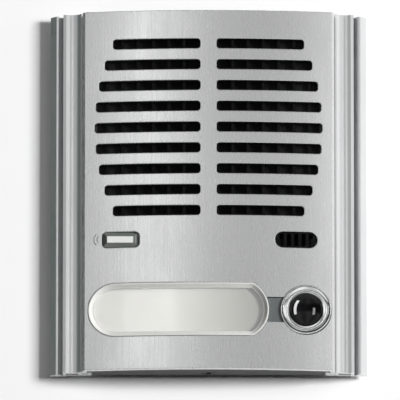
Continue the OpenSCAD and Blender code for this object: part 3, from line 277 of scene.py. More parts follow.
def alloy(name, colour, rough, grime_and_shade=None):
    """Satin anodised light alloy with fine drawn lines, soft clouds and handling marks."""
    f = Finish(name, 1.0)
    lines = f.noise(1.0, 2.0, 0.6, stretch=(3200.0, 3200.0, 26.0))
    clouds = f.noise(26.0, 4.0, 0.55)
    marks = f.noise(90.0, 5.0, 0.65, stretch=(1.0, 1.0, 0.35), shift=(0.31, 0.0, 0.17))
    grain = f.noise(6500.0, 2.0, 0.5)
    tone = f.maths("ADD", f.maths("MULTIPLY", lines, 0.45), f.maths("MULTIPLY", clouds, 0.55))
    tint = f.ramp(tone, (0.28, shaded(colour, 0.955)), (0.5, colour), (0.74, shaded(colour, 1.035)))
    # Grime and painted shade, where given, darken the alloy towards half its colour.
    if grime_and_shade is not None:
        tint = f.mix(grime_and_shade(f), tint, shaded(colour, 0.5))
    f.set("Base Color", tint)
    uneven = f.maths("ADD", f.maths("MULTIPLY", lines, 0.5), f.maths("MULTIPLY", marks, 0.5))
    f.set("Roughness", f.span(uneven, 0.25, 0.75, rough - 0.05, rough + 0.06))
    f.bump(lines, 0.000006, 0.35)
    f.bump(grain, 0.000004, 0.4)
    return f


def rail_grime_and_shade(f):
    """Grime spots, and painted shade, that darken the rail beside the face and in the small groove outside
    the crest.
    """
    face_side, undarkened = 52.1 * MM, 53.3 * MM
    groove_in, groove_foot = (59.7 * MM, 59.9 * MM), (60.3 * MM, 60.8 * MM)
    x = f.maths("ABSOLUTE", f.axes()[0])
    beside = f.span(x, face_side, undarkened, 1.0, 0.0, smooth=True)
    groove = f.maths("MULTIPLY", f.span(x, *groove_in), f.span(x, *groove_foot, 1.0, 0.0))
    spots = f.noise(240.0, 4.0, 0.7, stretch=(1.0, 1.0, 0.25))
    # Painted shade in the crease beside the face and in the groove, broken up by grime spots.
    grime_and_shade_share = f.maths("MAXIMUM", f.maths("MULTIPLY", beside, 0.4), groove)
    return f.maths("MULTIPLY", grime_and_shade_share, f.span(spots, 0.3, 0.75, 0.18, 0.5), clamp=True)


def moulded(name, colour, rough, grain_mm=0.35, depth_mm=0.02, spread=0.18):
    """Moulded plastic with a fine spark-eroded grain, slight flow marks and a little dust."""
    f = Finish(name)
    grain = f.noise(1.0 / (grain_mm * MM), 2.5, 0.55)
    flow = f.noise(60.0, 4.0, 0.6, stretch=(1.0, 1.0, 0.4))
    dust = f.noise(420.0, 5.0, 0.7, shift=(0.2, 0.1, 0.0))
    tint = f.ramp(flow, (0.3, shaded(colour, 1.0 - spread)), (0.7, shaded(colour, 1.0 + spread)))
    tint = f.mix(f.span(dust, 0.6, 0.9, 0.0, 0.12), tint, (0.32, 0.31, 0.29))
    f.set("Base Color", tint)
    f.set("Roughness", f.span(f.maths("ADD", grain, flow), 0.6, 1.4, rough - 0.07, rough + 0.08))
    f.bump(grain, depth_mm * MM, 0.5)
    return f


def plated(name, colour, rough, tint_to, scratch=2600.0):
    """Plated steel with passivation tints and fine scratches."""
    f = Finish(name, 1.0)
    patches = f.noise(240.0, 3.0, 0.6)
    lines = f.noise(1.0, 2.0, 0.6, stretch=(scratch, scratch, 160.0))
    f.set("Base Color", f.ramp(patches, (0.3, colour), (0.72, tint_to)))
    f.set("Roughness", f.span(lines, 0.25, 0.8, rough - 0.06, rough + 0.1))
    f.bump(lines, 0.000008, 0.5)
    return f


def chrome_ring():
    """Turned and plated ring of the button."""
    f = Finish("ring_chrome", 1.0)
    lines = f.noise(9000.0, 2.0, 0.5, vector=f.turned(*BUTTON))
    smear = f.noise(300.0, 3.0, 0.6)
    f.set("Base Color", f.ramp(smear, (0.3, (0.78, 0.785, 0.79)), (0.7, (0.87, 0.875, 0.88))))
    f.set("Roughness", f.span(f.maths("ADD", lines, smear), 0.6, 1.4, 0.17, 0.25))
    f.bump(lines, 0.000004, 0.5)
    return f


def gloss_black():
    """Polished black plastic, rubbed a little by fingers."""
    f = Finish("dome_black")
    rub = f.noise(210.0, 5.0, 0.7)
    fine = f.noise(3800.0, 2.0, 0.5)
    f.set("Base Color", f.ramp(rub, (0.35, (0.001, 0.001, 0.0012)), (0.8, (0.003, 0.003, 0.0033))))
    f.set("Roughness", f.span(rub, 0.35, 0.85, 0.04, 0.12))
    f.set("IOR", 1.5)
    f.set("Specular IOR Level", 0.2)
    f.bump(fine, 0.000002, 0.4)
    return f


def shade_towards_button(f):
    """Share of painted shade that darkens the name card and its window towards the button."""
    shade_from, shade_to = -15.0 * MM, 22.0 * MM
    return f.span(f.axes()[0], shade_from, shade_to)


def clear_pane(name, tint, rough):
    """Clear plastic with a slight haze and wiping marks, and painted shade that darkens it towards the
    button.
    """
    f = Finish(name)
    haze = f.noise(160.0, 5.0, 0.7)
    lines = f.noise(1.0, 3.0, 0.6, stretch=(90.0, 90.0, 2600.0))
    undarkened = f.ramp(haze, (0.3, tint), (0.8, shaded(tint, 0.97)))
    # Painted shade darkens the window towards the button.
    f.set("Base Color", f.mix(shade_towards_button(f), undarkened, shaded(tint, 0.6)))
    f.set("Roughness", f.span(f.maths("ADD", haze, lines), 0.7, 1.5, rough, rough + 0.05))
    f.set("Transmission Weight", 0.6)
    f.set("IOR", 1.49)
    f.bump(lines, 0.000003, 0.3)
    f.clear_to_lamps()
    return f


def paper_card():
    """White card with fibres, aged unevenly, and painted shade that darkens it towards the button."""
    f = Finish("card")
    fibre = f.noise(1.0, 4.0, 0.6, stretch=(900.0, 900.0, 2300.0))
    age = f.noise(45.0, 4.0, 0.6)
    white = f.ramp(age, (0.3, (0.84, 0.835, 0.81)), (0.7, (0.87, 0.87, 0.85)))
    # Painted shade darkens the card towards the button.
    f.set("Base Color", f.mix(shade_towards_button(f), white, (0.62, 0.63, 0.56)))
    f.set("Roughness", f.span(fibre, 0.2, 0.8, 0.7, 0.9))
    f.bump(fibre, 0.00002, 0.4)
    return f


def milky(name, colour):
    """Cloudy plastic that light soaks into."""
    f = Finish(name)
    cloud = f.noise(120.0, 3.0, 0.5)
    f.set("Base Color", f.ramp(cloud, (0.3, shaded(colour, 0.95)), (0.7, colour)))
    f.set("Roughness", f.span(cloud, 0.3, 0.7, 0.34, 0.46))
    f.set("Subsurface Weight", 0.3)
    f.set("Subsurface Scale", 0.001)
    f.set("Subsurface Radius", (1.0, 1.0, 0.9))
    f.bump(f.noise(3000.0, 2.0), 0.000006, 0.4)
    return f


def lens_plastic():
    """Clear lens with a white bar moulded in behind its flat front."""
    f = Finish("lens_plastic")
    bar_left, bar_right, bar_rise = 5.6, 5.1, 1.35
    soft_x, soft_z = 0.25, 0.2
    haze = f.noise(200.0, 4.0, 0.6)
    bar = f.maths(
        "MULTIPLY",
        f.within(0, STATUS_X - bar_left, STATUS_X + bar_right, soft_x),
        f.within(2, SMALL_Z - bar_rise, SMALL_Z + bar_rise, soft_z),
    )
    glass = f.ramp(haze, (0.3, (0.15, 0.175, 0.16)), (0.75, (0.2, 0.225, 0.21)))
    f.set("Base Color", f.mix(bar, glass, (0.76, 0.78, 0.75)))
    f.set("Roughness", f.span(haze, 0.3, 0.7, 0.12, 0.2))
    f.set("Transmission Weight", f.span(bar, 0.0, 1.0, 0.35, 0.0))
    f.set("IOR", 1.49)
    f.set("Coat Weight", 0.4)
    f.set("Coat Roughness", 0.08)
    f.bump(f.noise(2600.0, 2.0), 0.000004, 0.4)
    return f


def capsule_can():
    """Drawn can of the microphone with black felt over its front."""
    f = Finish("capsule_can")
    front = box_mm("mic_capsule")[0].y
    felt_from, felt_to = (front + 0.02) * MM, (front + 0.08) * MM
    felt = f.span(f.axes()[1], felt_from, felt_to, 1.0, 0.0)
    fuzz = f.noise(2600.0, 4.0, 0.7)
    black = f.ramp(fuzz, (0.3, (0.008, 0.008, 0.008)), (0.7, (0.02, 0.02, 0.02)))
    can = f.ramp(f.noise(260.0, 3.0, 0.6), (0.3, (0.56, 0.56, 0.55)), (0.7, (0.64, 0.64, 0.62)))
    f.set("Base Color", f.mix(felt, can, black))
    f.set("Metallic", f.maths("SUBTRACT", 1.0, felt))
    f.set("Roughness", f.span(felt, 0.0, 1.0, 0.3, 0.95))
    f.bump(fuzz, 0.00004, 0.5)
    return f


def weave(name, colour):
    """Plain woven cloth."""
    f = Finish(name)
    thread_pitch = 0.5067
    threads = f.maths("MULTIPLY", f.bands(thread_pitch, "X", 0.4), f.bands(thread_pitch, "Z", 0.4))
    f.set("Base Color", f.ramp(threads, (0.1, shaded(colour, 0.4)), (0.8, colour)))
    f.set("Roughness", f.span(threads, 0.0, 1.0, 0.95, 0.8))
    f.bump(threads, 0.00012, 0.8)
    return f


def galvanised():
    """Zinc coat with its spangles."""
    f = Finish("galvanised", 1.0)
    spangle = f.mosaic(170.0)
    fine = f.noise(1500.0, 3.0, 0.6)
    f.set("Base Color", f.ramp(spangle, (0.2, (0.5, 0.515, 0.52)), (0.8, (0.68, 0.69, 0.69))))
    f.set("Roughness", f.span(f.maths("ADD", spangle, fine), 0.4, 1.4, 0.3, 0.5))
    f.bump(fine, 0.00001, 0.4)
    return f


def circuit_board():
    """Green solder mask over patches of tracks that run one way or the other."""
    f = Finish("board_green")
    track_pitch, track_share = 0.7854, 0.62
    upright = f.maths("GREATER_THAN", f.mosaic(150.0, stretch=(1.0, 1.0, 2.2)), 0.5)
    columns = f.maths("GREATER_THAN", f.bands(track_pitch, "X"), track_share)
    rows = f.maths("GREATER_THAN", f.bands(track_pitch, "Z"), track_share)
    track = f.mix(upright, columns, rows)
    mottle = f.noise(500.0, 3.0, 0.6)
    mask = f.ramp(mottle, (0.3, (0.012, 0.085, 0.035)), (0.7, (0.018, 0.11, 0.045)))
    f.set("Base Color", f.mix(track, mask, (0.035, 0.2, 0.075)))
    f.set("Roughness", f.span(mottle, 0.3, 0.7, 0.28, 0.42))
    f.set("Coat Weight", 0.3)
    f.bump(track, 0.00003, 0.6)
    return f


def banded(name, colour, dark, pitch, direction, rough, metal=0.0, depth=0.00003):
    """Turns of wire or painted bands along one axis."""
    f = Finish(name, metal)
    turns = f.bands(pitch, direction, 0.2)
    patch = f.noise(300.0, 3.0, 0.6)
    base = f.ramp(turns, (0.15, dark), (0.7, colour))
    f.set("Base Color", f.mix(f.span(patch, 0.4, 0.8, 0.0, 0.3), base, shaded(colour, 0.75)))
    f.set("Roughness", f.span(patch, 0.3, 0.7, rough - 0.05, rough + 0.08))
    f.bump(turns, depth, 0.7)
    return f


def cone_paper():
    """Black pulp with pressed rings."""
    f = Finish("paper")
    fibre = f.noise(1400.0, 5.0, 0.7)
    rings = f.noise(900.0, 1.0, 0.4, vector=f.turned(0.0, GRILLE_Z))
    f.set("Base Color", f.ramp(fibre, (0.3, (0.018, 0.017, 0.016)), (0.75, (0.05, 0.047, 0.043))))
    f.set("Roughness", f.span(fibre, 0.3, 0.7, 0.8, 0.95))
    f.bump(rings, 0.0001, 0.5)
    f.bump(fibre, 0.00006, 0.5)
    return f


def blank_label():
    """Matt white film, left blank inside a thin printed frame."""
    f = Finish("label_white")
    low, high = box_mm("rear_label")
    line_out, line_in, soft = 0.95, 1.3, 0.05

    def inside_margin(margin):
        return f.maths(
            "MULTIPLY",
            f.within(0, low.x + margin, high.x - margin, soft),
            f.within(2, low.z + margin, high.z - margin, soft),
        )

    line = f.maths("SUBTRACT", inside_margin(line_out), inside_margin(line_in), clamp=True)
    age = f.noise(70.0, 4.0, 0.6)
    white = f.ramp(age, (0.3, (0.74, 0.74, 0.71)), (0.7, (0.8, 0.8, 0.78)))
    f.set("Base Color", f.mix(line, white, (0.12, 0.12, 0.13)))
    f.set("Roughness", f.span(age, 0.3, 0.7, 0.5, 0.65))
    f.bump(f.noise(2200.0, 3.0), 0.00001, 0.4)
    return f


finishes = {f.name: f for f in (
    alloy("face_alloy", (0.71, 0.72, 0.715), 0.27),
    # The rail alloy gets grime and painted shade beside the face and in its groove.
    alloy("rail_alloy", (0.74, 0.745, 0.75), 0.3, rail_grime_and_shade),
    moulded("black_plastic", (0.026, 0.026, 0.028), 0.5),
    moulded("housing_plastic", (0.052, 0.054, 0.057), 0.52, 0.5, 0.03),
    moulded("ferrite", (0.035, 0.034, 0.034), 0.6, 0.5, 0.04),
    moulded("rubber", (0.02, 0.02, 0.021), 0.7, 0.6, 0.02),
    moulded("foam", (0.03, 0.03, 0.03), 0.9, 0.5, 0.12),
    moulded("link_plastic", (0.118, 0.13, 0.132), 0.4, 0.4, 0.012, 0.08),
    moulded("terminal_green", (0.02, 0.17, 0.075), 0.42, 0.5, 0.012),
    moulded("trimmer_blue", (0.02, 0.07, 0.3), 0.4, 0.5, 0.012),
    moulded("white_plastic", (0.66, 0.65, 0.6), 0.4, 0.5, 0.012, 0.06),
    moulded("chip_black", (0.02, 0.02, 0.021), 0.45, 0.3, 0.012),
    moulded("can_sleeve", (0.016, 0.02, 0.06), 0.3, 0.8, 0.008),
    moulded("lead_red", (0.34, 0.018, 0.014), 0.42, 0.6, 0.01),
    plated("steel", (0.6, 0.605, 0.6), 0.32, (0.66, 0.63, 0.55)),
    plated("iron", (0.55, 0.55, 0.53), 0.36, (0.62, 0.58, 0.46)),
    plated("spring_steel", (0.6, 0.605, 0.62), 0.26, (0.52, 0.53, 0.55), 4200.0),
    plated("basket_steel", (0.5, 0.5, 0.5), 0.4, (0.56, 0.56, 0.53)),
    plated("terminal_zinc", (0.66, 0.66, 0.63), 0.3, (0.7, 0.66, 0.52)),
    banded("resistor_tan", (0.52, 0.38, 0.22), (0.2, 0.05, 0.03), 1.6, "Z", 0.4, depth=0.00001),
    banded("copper", (0.62, 0.27, 0.12), (0.3, 0.1, 0.04), 0.22, "Y", 0.3, metal=1.0),
    milky("milky_plastic", (0.82, 0.83, 0.83)),
    milky("led_clear", (0.8, 0.79, 0.68)),
    clear_pane("clear_plastic", (0.785, 0.783, 0.765), 0.03),
    weave("cloth", (0.02, 0.02, 0.02)),
    galvanised(),
    cone_paper(),
    paper_card(),
    chrome_ring(),
    gloss_black(),
    circuit_board(),
    blank_label(),
)}

grille_black = moulded("grille_black", (0.005, 0.005, 0.0055), 0.75, spread=0.3)
grille_black.set("Specular IOR Level", 0.12)
frosted_plastic = milky("frosted_plastic", (0.74, 0.742, 0.715))
print_grey = moulded("print_grey", (0.2, 0.205, 0.21), 0.6, 0.15, 0.004, 0.1)

# Nodes whose finish differs from the rest of their material slot
special = {
    "status_lens": lens_plastic(),
    "mic_capsule": capsule_can(),
    "mic_insert": grille_black,
    "speaker_guard": grille_black,
    "security_screw": plated("blackened_steel", (0.035, 0.035, 0.037), 0.42, (0.06, 0.055, 0.05)),
}

for name, obj in nodes.items():
    slot = obj.data.materials[0].name.split(".")[0]
    obj.material_slots[0].material = special.get(name, finishes[slot]).mat


# Shapes in millimetres, seen from the front as x and z, or as x, depth and z


def arc(cx, cz, r, a, b, n):
    """Points of an arc between two angles in degrees."""
    turns = (math.radians(a + (b - a) * i / n) for i in range(n + 1))
    return [(cx + r * math.cos(t), cz + r * math.sin(t)) for t in turns]


def rounded(x0, x1, z0, z1, r, n):
    """Outline of a rectangle with round corners."""
    return (
        arc(x1 - r, z1 - r, r, 0, 90, n)
        + arc(x0 + r, z1 - r, r, 90, 180, n)
        + arc(x0 + r, z0 + r, r, 180, 270, n)
        + arc(x1 - r, z0 + r, r, 270, 360, n)
    )


def divided(outline, step):
    """A closed outline with its long edges divided."""
    points = []
    for a, b in zip(outline, outline[1:] + outline[:1]):
        n = max(1, math.ceil(math.dist(a, b) / step))
        points += [(a[0] + (b[0] - a[0]) * i / n, a[1] + (b[1] - a[1]) * i / n) for i in range(n)]
    return points


def grown(outline, g):
    """A closed outline that runs counterclockwise, moved outward by g."""
    points = []
    for a, b, c in zip(outline[-1:] + outline[:-1], outline, outline[1:] + outline[:1]):
        before = Vector((b[1] - a[1], a[0] - b[0])).normalized()
        after = Vector((c[1] - b[1], b[0] - c[0])).normalized()
        way = (before + after).normalized()
        points.append(tuple(Vector(b) + way * (g / max(way.dot(after), 0.5))))
    return points


def inside(x, z, ring):
    """Whether a point lies within a closed outline."""
    if not min(q[0] for q in ring) < x < max(q[0] for q in ring):
        return False
    if not min(q[1] for q in ring) < z < max(q[1] for q in ring):
        return False
    odd = False
    for (xa, za), (xb, zb) in zip(ring, ring[1:] + ring[:1]):
        if (za > z) != (zb > z) and x < xa + (xb - xa) * (z - za) / (zb - za):
            odd = not odd
    return odd


def on_bow(points, inset):
    """Points of x and z laid on the surface that lies inset behind the bowed front."""
    return [(x, bow_depth(x, inset), z) for x, z in points]


def loft(rings, joined=False, flip=False):
    """Skin over closed rings of equal count; joined rings run back to the first one."""
    count = len(rings[0])
    faces = []
    for k in range(len(rings) if joined else len(rings) - 1):
        a, b = k * count, (k + 1) % len(rings) * count
        for i in range(count):
            j = (i + 1) % count
            faces.append((a + i, b + i, b + j, a + j) if flip else (a + i, a + j, b + j, b + i))
    return [point for ring in rings for point in ring], faces


def bar(rings):
    """Skin over a row of closed rings, with its two ends closed."""
    verts, faces = loft(rings, flip=True)
    count = len(rings[0])
    faces.append(tuple(range(count)))
    faces.append(tuple(reversed(range(len(verts) - count, len(verts)))))
    return verts, faces


def wire_rings(path, radius, sides=14):
    """Rings of a round wire along a path."""
    points = [Vector(p) for p in path]
    turns = [2 * math.pi * k / sides for k in range(sides)]
    rings = []
    side = None
    for i, p in enumerate(points):
        way = (points[min(i + 1, len(points) - 1)] - points[max(i - 1, 0)]).normalized()
        if side is None:
            side = way.orthogonal().normalized()
        side = (side - way * side.dot(way)).normalized()
        other = way.cross(side)
        ring = [p + side * (radius * math.cos(a)) + other * (radius * math.sin(a)) for a in turns]
        rings.append([tuple(q) for q in ring])
    return rings


def one_face(points, flip=False):
    """A single face over its points."""
    face = tuple(range(len(points)))
    return points, [face[::-1] if flip else face]


def together(shapes):
    """Points and faces of several shapes in one."""
    verts, faces = [], []
    for points, corners in shapes:
        first = len(verts)
        verts += points
        faces += [tuple(first + i for i in face) for face in corners]
    return verts, faces


def piece(name, shape, slot, finish=None, smooth=True):
    """A new piece on the panel, in the finish of its slot unless another one is given."""
    verts, faces = shape
    mesh = bpy.data.meshes.new(name)
    mesh.from_pydata([(x * MM, -d * MM, z * MM) for x, d, z in verts], [], faces)
    mesh.validate()
    mesh.update()
    mesh.polygons.foreach_set("use_smooth", [smooth] * len(mesh.polygons))
    obj = bpy.data.objects.new(name, mesh)
    bpy.context.scene.collection.objects.link(obj)
    mesh.materials.append((finish or finishes[slot]).mat)
    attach(obj, "panel")
    return obj


# Face

# Radius of the broken edges, and the flat strip round them, which is narrow at the key-shaped opening
SOFT, STRIP, KEY_STRIP = 0.22, 0.15, 0.05
# Offset and inset of the points across a broken edge
EDGE_TURNS = [math.radians(a) for a in (0, 30, 60, 90)]
BROKEN_EDGE = [(SOFT * (1 - math.sin(a)), SOFT * (1 - math.cos(a))) for a in EDGE_TURNS]
# Half width of the front up to its side bevels, and half sizes of the part of it that is filled
SIDE_STRIP = 0.06
FACE_X = PLATE_X - BEVEL_W
INNER_X, INNER_Z = FACE_X - SIDE_STRIP, PLATE_Z - SOFT - STRIP
# Half height at which the hole of the ring cuts the inner side of a leg
NOTCH = math.sqrt(RING_HOLE_R ** 2 - (LEG_X - BUTTON[0]) ** 2)
# Spacing of the points along openings, along borders, and over the front and the back
HOLE_STEP, BORDER_STEP, FRONT_STEP, BACK_STEP = 1.6, 2.4, 2.6, 4.0
# Steps up the sides
LEVELS = 64
# Distance within which a point counts as on a line
NEAR = 0.001


def slot_outlines():
    """Rows of slots either side of the web of the grille."""
    outlines = []
    for k in range(SLOT_ROWS):
        rise = (k - (SLOT_ROWS - 1) // 2) * SLOT_PITCH
        z = GRILLE_Z + rise
        end = GRILLE_X - GRILLE_END_R + math.sqrt(GRILLE_END_R ** 2 - rise ** 2)
        for x0, x1 in ((SLOT_WEB / 2, end), (-end, -SLOT_WEB / 2)):
            outlines.append(rounded(x0, x1, z - SLOT_H / 2, z + SLOT_H / 2, SLOT_CORNER, 8))
    return outlines


def key_outline():
    """Outline of the name window, the link and the hole of the button's ring in one."""
    h = NAME_H / 2
    end_x = NAME_END - NAME_END_R
    wide = math.degrees(math.asin(h / NAME_END_R))
    slim = math.degrees(math.asin(LINK_H / 2 / NAME_END_R))
    near = math.degrees(math.asin(LINK_H / 2 / RING_HOLE_R))
    past = math.degrees(math.acos((LEG_X - BUTTON[0]) / RING_HOLE_R))
    return (
        arc(NAME_START + h, NAME_Z, h, 90, 270, 28)
        + arc(end_x, NAME_Z, NAME_END_R, -wide, -slim, 10)
        + arc(*BUTTON, RING_HOLE_R, near - 180, -past, 20)[:-1]
        + arc(*BUTTON, RING_HOLE_R, -past, past, 6)[:-1]
        + arc(*BUTTON, RING_HOLE_R, past, 180 - near, 20)
        + arc(end_x, NAME_Z, NAME_END_R, slim, wide, 10)
    )


def plate_openings():
    """Outlines of all openings of the face, the key-shaped one last."""

    def window(x, w, h, r, n):
        return rounded(x - w / 2, x + w / 2, SMALL_Z - h / 2, SMALL_Z + h / 2, r, n)

    holes = slot_outlines()
    holes.append(window(STATUS_X, STATUS_W, STATUS_H, STATUS_CORNER, 8))
    holes.append(window(MIC_X, MIC_W, MIC_H, (MIC_H - MIC_FLAT) / 2, 12))
    holes.append(key_outline())
    return [divided(hole, HOLE_STEP) for hole in holes]


def frame_outline(wide, levels):
    """Outline of a rectangle with its sides divided at the given heights."""
    n = math.ceil(2 * wide / BORDER_STEP)
    across = [2 * wide * i / n - wide for i in range(n + 1)]
    return (
        [(x, levels[0]) for x in across]
        + [(wide, z) for z in levels[1:]]
        + [(x, levels[-1]) for x in across[-2::-1]]
        + [(-wide, z) for z in levels[-2:0:-1]]
    )


def sheet_fill(border, holes, step):
    """Triangles between a border and its openings, with points spread over the sheet."""
    clear_of_edges = 0.55 * step
    points, edges = [], []
    for ring in [border] + holes:
        first = len(points)
        points += ring
        edges += [(first + i, first + (i + 1) % len(ring)) for i in range(len(ring))]
    near = KDTree(len(points))
    for i, (x, z) in enumerate(points):
        near.insert((x, z, 0.0), i)
    near.balance()
    wide, high = max(x for x, _ in border), max(z for _, z in border)
    columns, rows = round(2 * wide / step), round(2 * high / step)
    for i in range(1, columns):
        for j in range(1, rows):
            at = (2 * wide * i / columns - wide, 2 * high * j / rows - high)
            if near.find((*at, 0.0))[2] > clear_of_edges:
                points.append(at)
    flat, _, faces, _, _, _ = delaunay_2d_cdt([Vector(q) for q in points], edges, [], 1, 1e-5)
    middles = [sum((flat[i] for i in face), Vector((0.0, 0.0))) / 3 for face in faces]
    faces = [face for face, (x, z) in zip(faces, middles) if not any(inside(x, z, hole) for hole in holes)]
    used = sorted({i for face in faces for i in face})
    place = {i: k for k, i in enumerate(used)}
    return [tuple(flat[i]) for i in used], [tuple(place[i] for i in face) for face in faces]


def front_and_openings(border, holes):
    """Front of the face, and the broken edges and walls of its openings."""
    rims = [grown(hole, SOFT + STRIP) for hole in holes[:-1]] + [grown(holes[-1], SOFT + KEY_STRIP)]
    flat, faces = sheet_fill(border, rims, FRONT_STEP)
    shapes = [(on_bow(flat, 0.0), faces)]
    for hole, rim in zip(holes, rims):
        rings = [on_bow(rim, 0.0)]
        rings += [on_bow(grown(hole, g), inset) for g, inset in BROKEN_EDGE]
        rings.append(on_bow(hole, PLATE_T))
        shapes.append(loft(rings))
    return shapes


def outer_rings(border):
    """Rings from the border out over the broken edges at the ends and the bevels along the sides."""

    def moved(out_x, out_z):
        return [
            (
                x if abs(x) < INNER_X - NEAR else math.copysign(out_x, x),
                z if abs(z) < INNER_Z - NEAR else math.copysign(out_z, z),
            )
            for x, z in border
        ]

    rings = [on_bow(border, 0.0)]
    for g, inset in BROKEN_EDGE:
        side_x = FACE_X - SIDE_STRIP / 2 if inset == 0.0 else FACE_X
        rings.append(on_bow(moved(side_x, PLATE_Z - g), inset))
    last = []
    for (x, _), (out_x, out_z) in zip(border, moved(PLATE_X, PLATE_Z)):
        inset = BEVEL_D if abs(x) > INNER_X - NEAR else SOFT
        last.append((out_x, bow_depth(out_x, inset), out_z))
    return rings + [last]


def back_and_ledge(outline, heights, holes):
    """Back of the face, and the ledge that the hole of the ring leaves in a leg."""
    flat, faces = sheet_fill(outline, holes, BACK_STEP)
    ledge = [(x, z) for x, z in holes[-1] if x > LEG_X - NEAR]
    ledge += [(LEG_X, z) for z in reversed(heights) if abs(z - BUTTON[1]) < NOTCH - NEAR]
    back = (on_bow(flat, PLATE_T), [face[::-1] for face in faces])
    return [back, one_face(on_bow(ledge, PLATE_T))]


def leg(side, heights):
    """Leg down one side of the face."""
    section = [
        (PLATE_X, bow_depth(PLATE_X, BEVEL_D)),
        (PLATE_X, LEG_D),
        (LEG_X, LEG_D),
        (LEG_X, bow_depth(LEG_X, PLATE_T)),
    ]
    rows = len(heights)
    faces = []
    for k in range(len(section) - 1):
        for i in range(k * rows, (k + 1) * rows - 1):
            face = (i, i + rows, i + rows + 1, i + 1)
            faces.append(face if side > 0 else face[::-1])
    return [(side * x, d, z) for x, d in section for z in heights], faces


def cut_end(way, rim, outline):
    """Cut end of the face and its legs, at the bottom or the top."""
    z = way * PLATE_Z
    front = sorted(v for v in rim if v[2] * way > PLATE_Z - NEAR)
    behind = sorted(on_bow([q for q in outline if q[1] * way > PLATE_Z - NEAR], PLATE_T))
    right = [(PLATE_X, LEG_D, z), (LEG_X, LEG_D, z)]
    left = [(-LEG_X, LEG_D, z), (-PLATE_X, LEG_D, z)]
    return one_face(front + right + behind[::-1] + left, flip=way > 0)


def face_sheet():
    """Bowed alloy face with softly broken edges round its openings."""
    holes = plate_openings()
    levels = [2 * INNER_Z * i / LEVELS - INNER_Z for i in range(LEVELS + 1)]
    levels = sorted(levels + [BUTTON[1] - NOTCH, BUTTON[1] + NOTCH])
    heights = [-PLATE_Z] + levels[1:-1] + [PLATE_Z]
    border = frame_outline(INNER_X, levels)
    outline = frame_outline(LEG_X, heights)
    rings = outer_rings(border)
    shapes = front_and_openings(border, holes)
    shapes.append(loft(rings[::-1]))
    shapes += back_and_ledge(outline, heights, holes)
    shapes += [leg(side, heights) for side in (-1, 1)]
    shapes += [cut_end(way, rings[-1], outline) for way in (-1, 1)]
    obj = piece("face_sheet", together(shapes), "face_alloy")
    knit = bmesh.new()
    knit.from_mesh(obj.data)
    bmesh.ops.remove_doubles(knit, verts=knit.verts, dist=1e-7)
    bmesh.ops.recalc_face_normals(knit, faces=knit.faces)
    knit.to_mesh(obj.data)
    knit.free()
    obj.data.set_sharp_from_angle(angle=math.radians(35))
    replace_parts(obj, "face_plate")


face_sheet()


# Name window

# Steps along the round ends of the window and along its straight runs
END_STEPS, RUN_STEPS = 24, 30
# Inset of the back of the window
WINDOW_BACK = 3.2


def name_ring(g):
    """Outline of the name window drawn in by g: left end, bottom run, right end, top run."""
    h = NAME_H / 2
    turn = math.degrees(math.asin((h - g) / (NAME_END_R - g)))
    left = arc(NAME_START + h, NAME_Z, h - g, 90, 270, END_STEPS)
    right = arc(NAME_END - NAME_END_R, NAME_Z, NAME_END_R - g, -turn, turn, END_STEPS)

    def between(a, b):
        return [tuple(p + (q - p) * i / RUN_STEPS for p, q in zip(a, b)) for i in range(1, RUN_STEPS)]

    return left + between(left[-1], right[0]) + right + between(right[-1], left[0])


def cover(verts, faces, start, inset, flip):
    """Closes a ring of the name window with rows of faces that follow the bow."""
    count = len(name_ring(0.0))
    left = [start + i for i in range(END_STEPS + 1)]
    right = [start + 2 * END_STEPS + RUN_STEPS - i for i in range(END_STEPS + 1)]
    top = [left[0]] + [start + count - i for i in range(1, RUN_STEPS)] + [right[0]]
    bottom = [left[-1]] + [start + END_STEPS + i for i in range(1, RUN_STEPS)] + [right[-1]]
    shares = [k / RUN_STEPS for k in range(1, RUN_STEPS)]
    rows = [top]
    for a, b in zip(left[1:-1], right[1:-1]):
        (xa, _, za), (xb, _, zb) = verts[a], verts[b]
        first = len(verts)
        verts += on_bow([(xa + (xb - xa) * t, za + (zb - za) * t) for t in shares], inset)
        rows.append([a] + list(range(first, len(verts))) + [b])
    rows.append(bottom)
    for up, low in zip(rows, rows[1:]):
        for k in range(RUN_STEPS):
            face = (up[k], low[k], low[k + 1], up[k + 1])
            faces.append(face[::-1] if flip else face)


def name_pane():
    """Clear dish of the name window."""
    profile = [(2.12, WINDOW_BACK), (2.12, 1.29), (2.4, 1.32)]
    rings = [on_bow(name_ring(g), inset) for g, inset in profile]
    verts, faces = loft(rings)
    cover(verts, faces, (len(rings) - 1) * len(rings[0]), profile[-1][1], False)
    cover(verts, faces, 0, profile[0][1], True)
    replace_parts(piece("name_pane", (verts, faces), "clear_plastic"), "name_window")


def name_rim():
    """Frosted rim round the clear dish of the name window."""
    profile = [
        (0.15, WINDOW_BACK), (0.15, 0.32), (0.2, 0.16), (0.34, 0.1), (0.6, 0.13), (0.9, 0.36),
        (1.4, 0.82), (1.75, 1.1), (2.0, 1.25), (2.1, 1.3), (2.1, WINDOW_BACK),
    ]
    shape = loft([on_bow(name_ring(g), inset) for g, inset in profile], joined=True)
    rim = piece("name_rim", shape, "clear_plastic", frosted_plastic)
    rim.data.set_sharp_from_angle(angle=math.radians(50))
    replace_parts(rim, "name_window")


name_pane()
name_rim()


# Button spring


